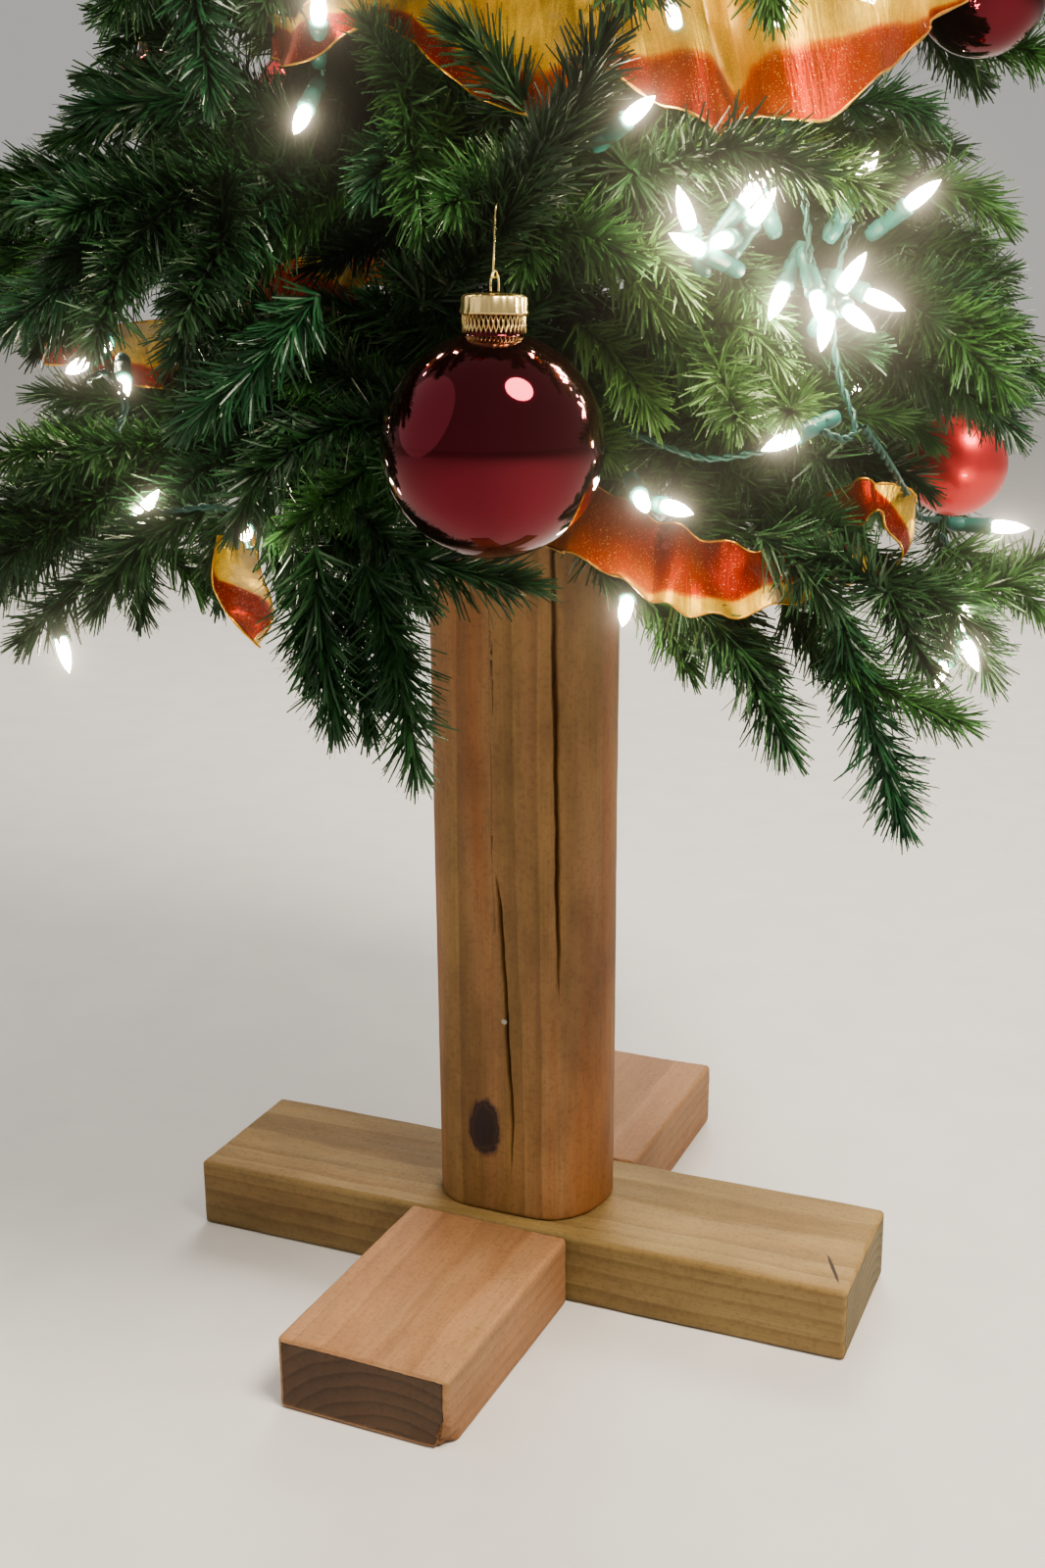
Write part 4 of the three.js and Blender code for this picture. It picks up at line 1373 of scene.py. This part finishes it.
def add_ribbon(upper, lower, gold_share, ruffle=4.0):
    """A ribbon between two edge lines. gold_share is the part of its width, from the upper edge, that is gold
    at each of their points."""
    length = steps_of(upper).sum() / MM
    count = max(12, int(length / 3.6))
    a, b = curve(upper, count), curve(lower, count)
    share = np.interp(np.linspace(0, len(upper) - 1, count), np.arange(len(upper)), gold_share)
    t = np.concatenate([[0, 0.03], np.linspace(0.1, 0.9, 12), [0.97, 1]])
    normal = unit(np.cross(np.gradient((a + b) / 2, axis=0), b - a))
    place = np.linspace(0, length, count)
    grid = a[:, None] * (1 - t)[:, None] + b[:, None] * t[:, None]
    grid += normal[:, None] * (ruffles(place, t) * ruffle * MM)[..., None]
    ribbon.add(grid, grid_faces(count, len(t), False), CLOTH)
    along_places = np.broadcast_to(place[:, None] + rng.uniform(0, 2000), (count, len(t)))
    across_places = (t[None] - share[:, None]) * RIBBON_WIDTH
    ribbon_places.append(np.stack([along_places, across_places], -1).reshape(-1, 2) * MM)
    for edge in (grid[:, 0], grid[:, -1]):
        before = ribbon.count
        add_tube(ribbon, edge, (0.55 + 0.2 * rng.uniform(-1, 1, count)) * MM, 4, TRIM)
        ribbon_places.append(np.zeros((ribbon.count - before, 2)))


def garland_edges():
    """Both edge lines of a ribbon that is wound round the crown in swags, from the top down."""
    upper, lower = [], []
    for n in range(GARLAND_STEPS + 1):
        share = n / GARLAND_STEPS
        height = GARLAND_TOP - GARLAND_DROP * share ** 0.96
        reach = crown_reach(height, 0.4, (GARLAND_TOP, 60), (GARLAND_TOP + 100, 30))
        swag = abs(math.sin(n * math.pi / 5.2 + 0.9 * math.sin(n * 0.23)))
        radius = reach * (0.97 - 0.26 * swag) + 4 + rng.normal(0, 5)
        height += 16 * math.sin(n * 0.37) - 26 * swag
        outward = heading(share * GARLAND_TURNS * CIRCLE + 0.4)
        tilt = 0.55 + 0.42 * math.sin(n * 0.83 + 1.3 * math.sin(n * 0.19)) + rng.normal(0, 0.08)
        half = RIBBON_WIDTH / 2 * min(1.0, 0.55 + reach / 300)
        width = half * (Z * math.cos(tilt) - outward * math.sin(tilt) * 0.9)
        upper.append((outward * radius + Z * height + width) * MM)
        lower.append((outward * radius + Z * height - width) * MM)
    return np.array(upper), np.array(lower)


def wind_garland():
    """The guessed turns of the ribbon, where the photograph doesn't show it."""
    upper, lower = garland_edges()
    for run in hidden_runs((upper + lower) / 2, 60):
        if len(run) <= SHORTEST_GARLAND:
            continue
        edges = upper[run], lower[run]
        for edge in edges:
            for k, share in enumerate(TUCK):
                edge[[k, -1 - k], :2] *= share
        add_ribbon(*edges, 0.5 + 0.28 * np.sin(run * 0.7), 4.5)


for line, gold_share in SHOWN_RIBBONS:
    add_ribbon([seen(*place[:3]) for place in line], [seen(*place[3:]) for place in line], gold_share)
wind_garland()
ribbon.build("ribbon_garland", [RIBBON_CLOTH, RIBBON_TRIM], "ribbon", places=np.concatenate(ribbon_places))


# Studio: three soft lamps, a pale sky, the camera's glow round the lit bulbs, and the floor

SOFT_LAMPS = [
    # name, place, what it is aimed at, size, power and colour
    ("key", (1.5, -0.7, 2.8), (0, 0, 0.5), 1.2, 122, (1.0, 0.90, 0.76)),
    ("fill", (-2.4, -1.6, 1.8), (0, 0, 0.5), 4.0, 20, (1.0, 0.95, 0.88)),
    ("rim", (-0.6, 2.4, 2.2), (0, 0, 0.7), 1.4, 44, (1.0, 0.94, 0.85)),
]
SKY_COLOR, SKY_STRENGTH = (1.0, 0.97, 0.93, 1), 0.40
GLOW = {"Threshold": 6.0, "Clamp": True, "Maximum": 60.0, "Strength": 0.15, "Size": 0.25}
FLOOR_HALF = 20.0
FLOOR = flat_color("floor_pale", (0.74, 0.72, 0.69), 0.6, grain=120.0, spread=0.03)


def add_soft_lamp(name, place, aim, size, power, color):
    data = bpy.data.lights.new(name, "AREA")
    data.shape = "DISK"
    data.size = size
    data.energy = power
    data.color = color
    lamp = add_object(name, data)
    lamp.location = place
    lamp.rotation_euler = (Vector(aim) - Vector(place)).to_track_quat("-Z", "Y").to_euler()


def set_sky(scene):
    scene.world = bpy.data.worlds.new("studio")
    scene.world.use_nodes = True
    sky = scene.world.node_tree.nodes["Background"].inputs
    sky["Color"].default_value = SKY_COLOR
    sky["Strength"].default_value = SKY_STRENGTH


def set_glow(scene):
    scene.use_nodes = True
    nodes, links = scene.node_tree.nodes, scene.node_tree.links
    nodes.clear()
    layers = nodes.new("CompositorNodeRLayers")
    glare = nodes.new("CompositorNodeGlare")
    glare.glare_type = "BLOOM"
    for key, value in GLOW.items():
        glare.inputs[key].default_value = value
    picture = nodes.new("CompositorNodeComposite")
    links.new(layers.outputs["Image"], glare.inputs["Image"])
    links.new(glare.outputs["Image"], picture.inputs["Image"])


def add_floor():
    data = bpy.data.meshes.new("floor")
    corners = [(-1, -1), (1, -1), (1, 1), (-1, 1)]
    data.from_pydata([(x * FLOOR_HALF, y * FLOOR_HALF, 0) for x, y in corners], [], [(0, 1, 2, 3)])
    data.materials.append(FLOOR)
    floor = add_object("floor", data)


for lamp in SOFT_LAMPS:
    add_soft_lamp(*lamp)
set_sky(bpy.context.scene)
set_glow(bpy.context.scene)
bpy.context.scene.view_settings.look = "AgX - Medium High Contrast"
add_floor()
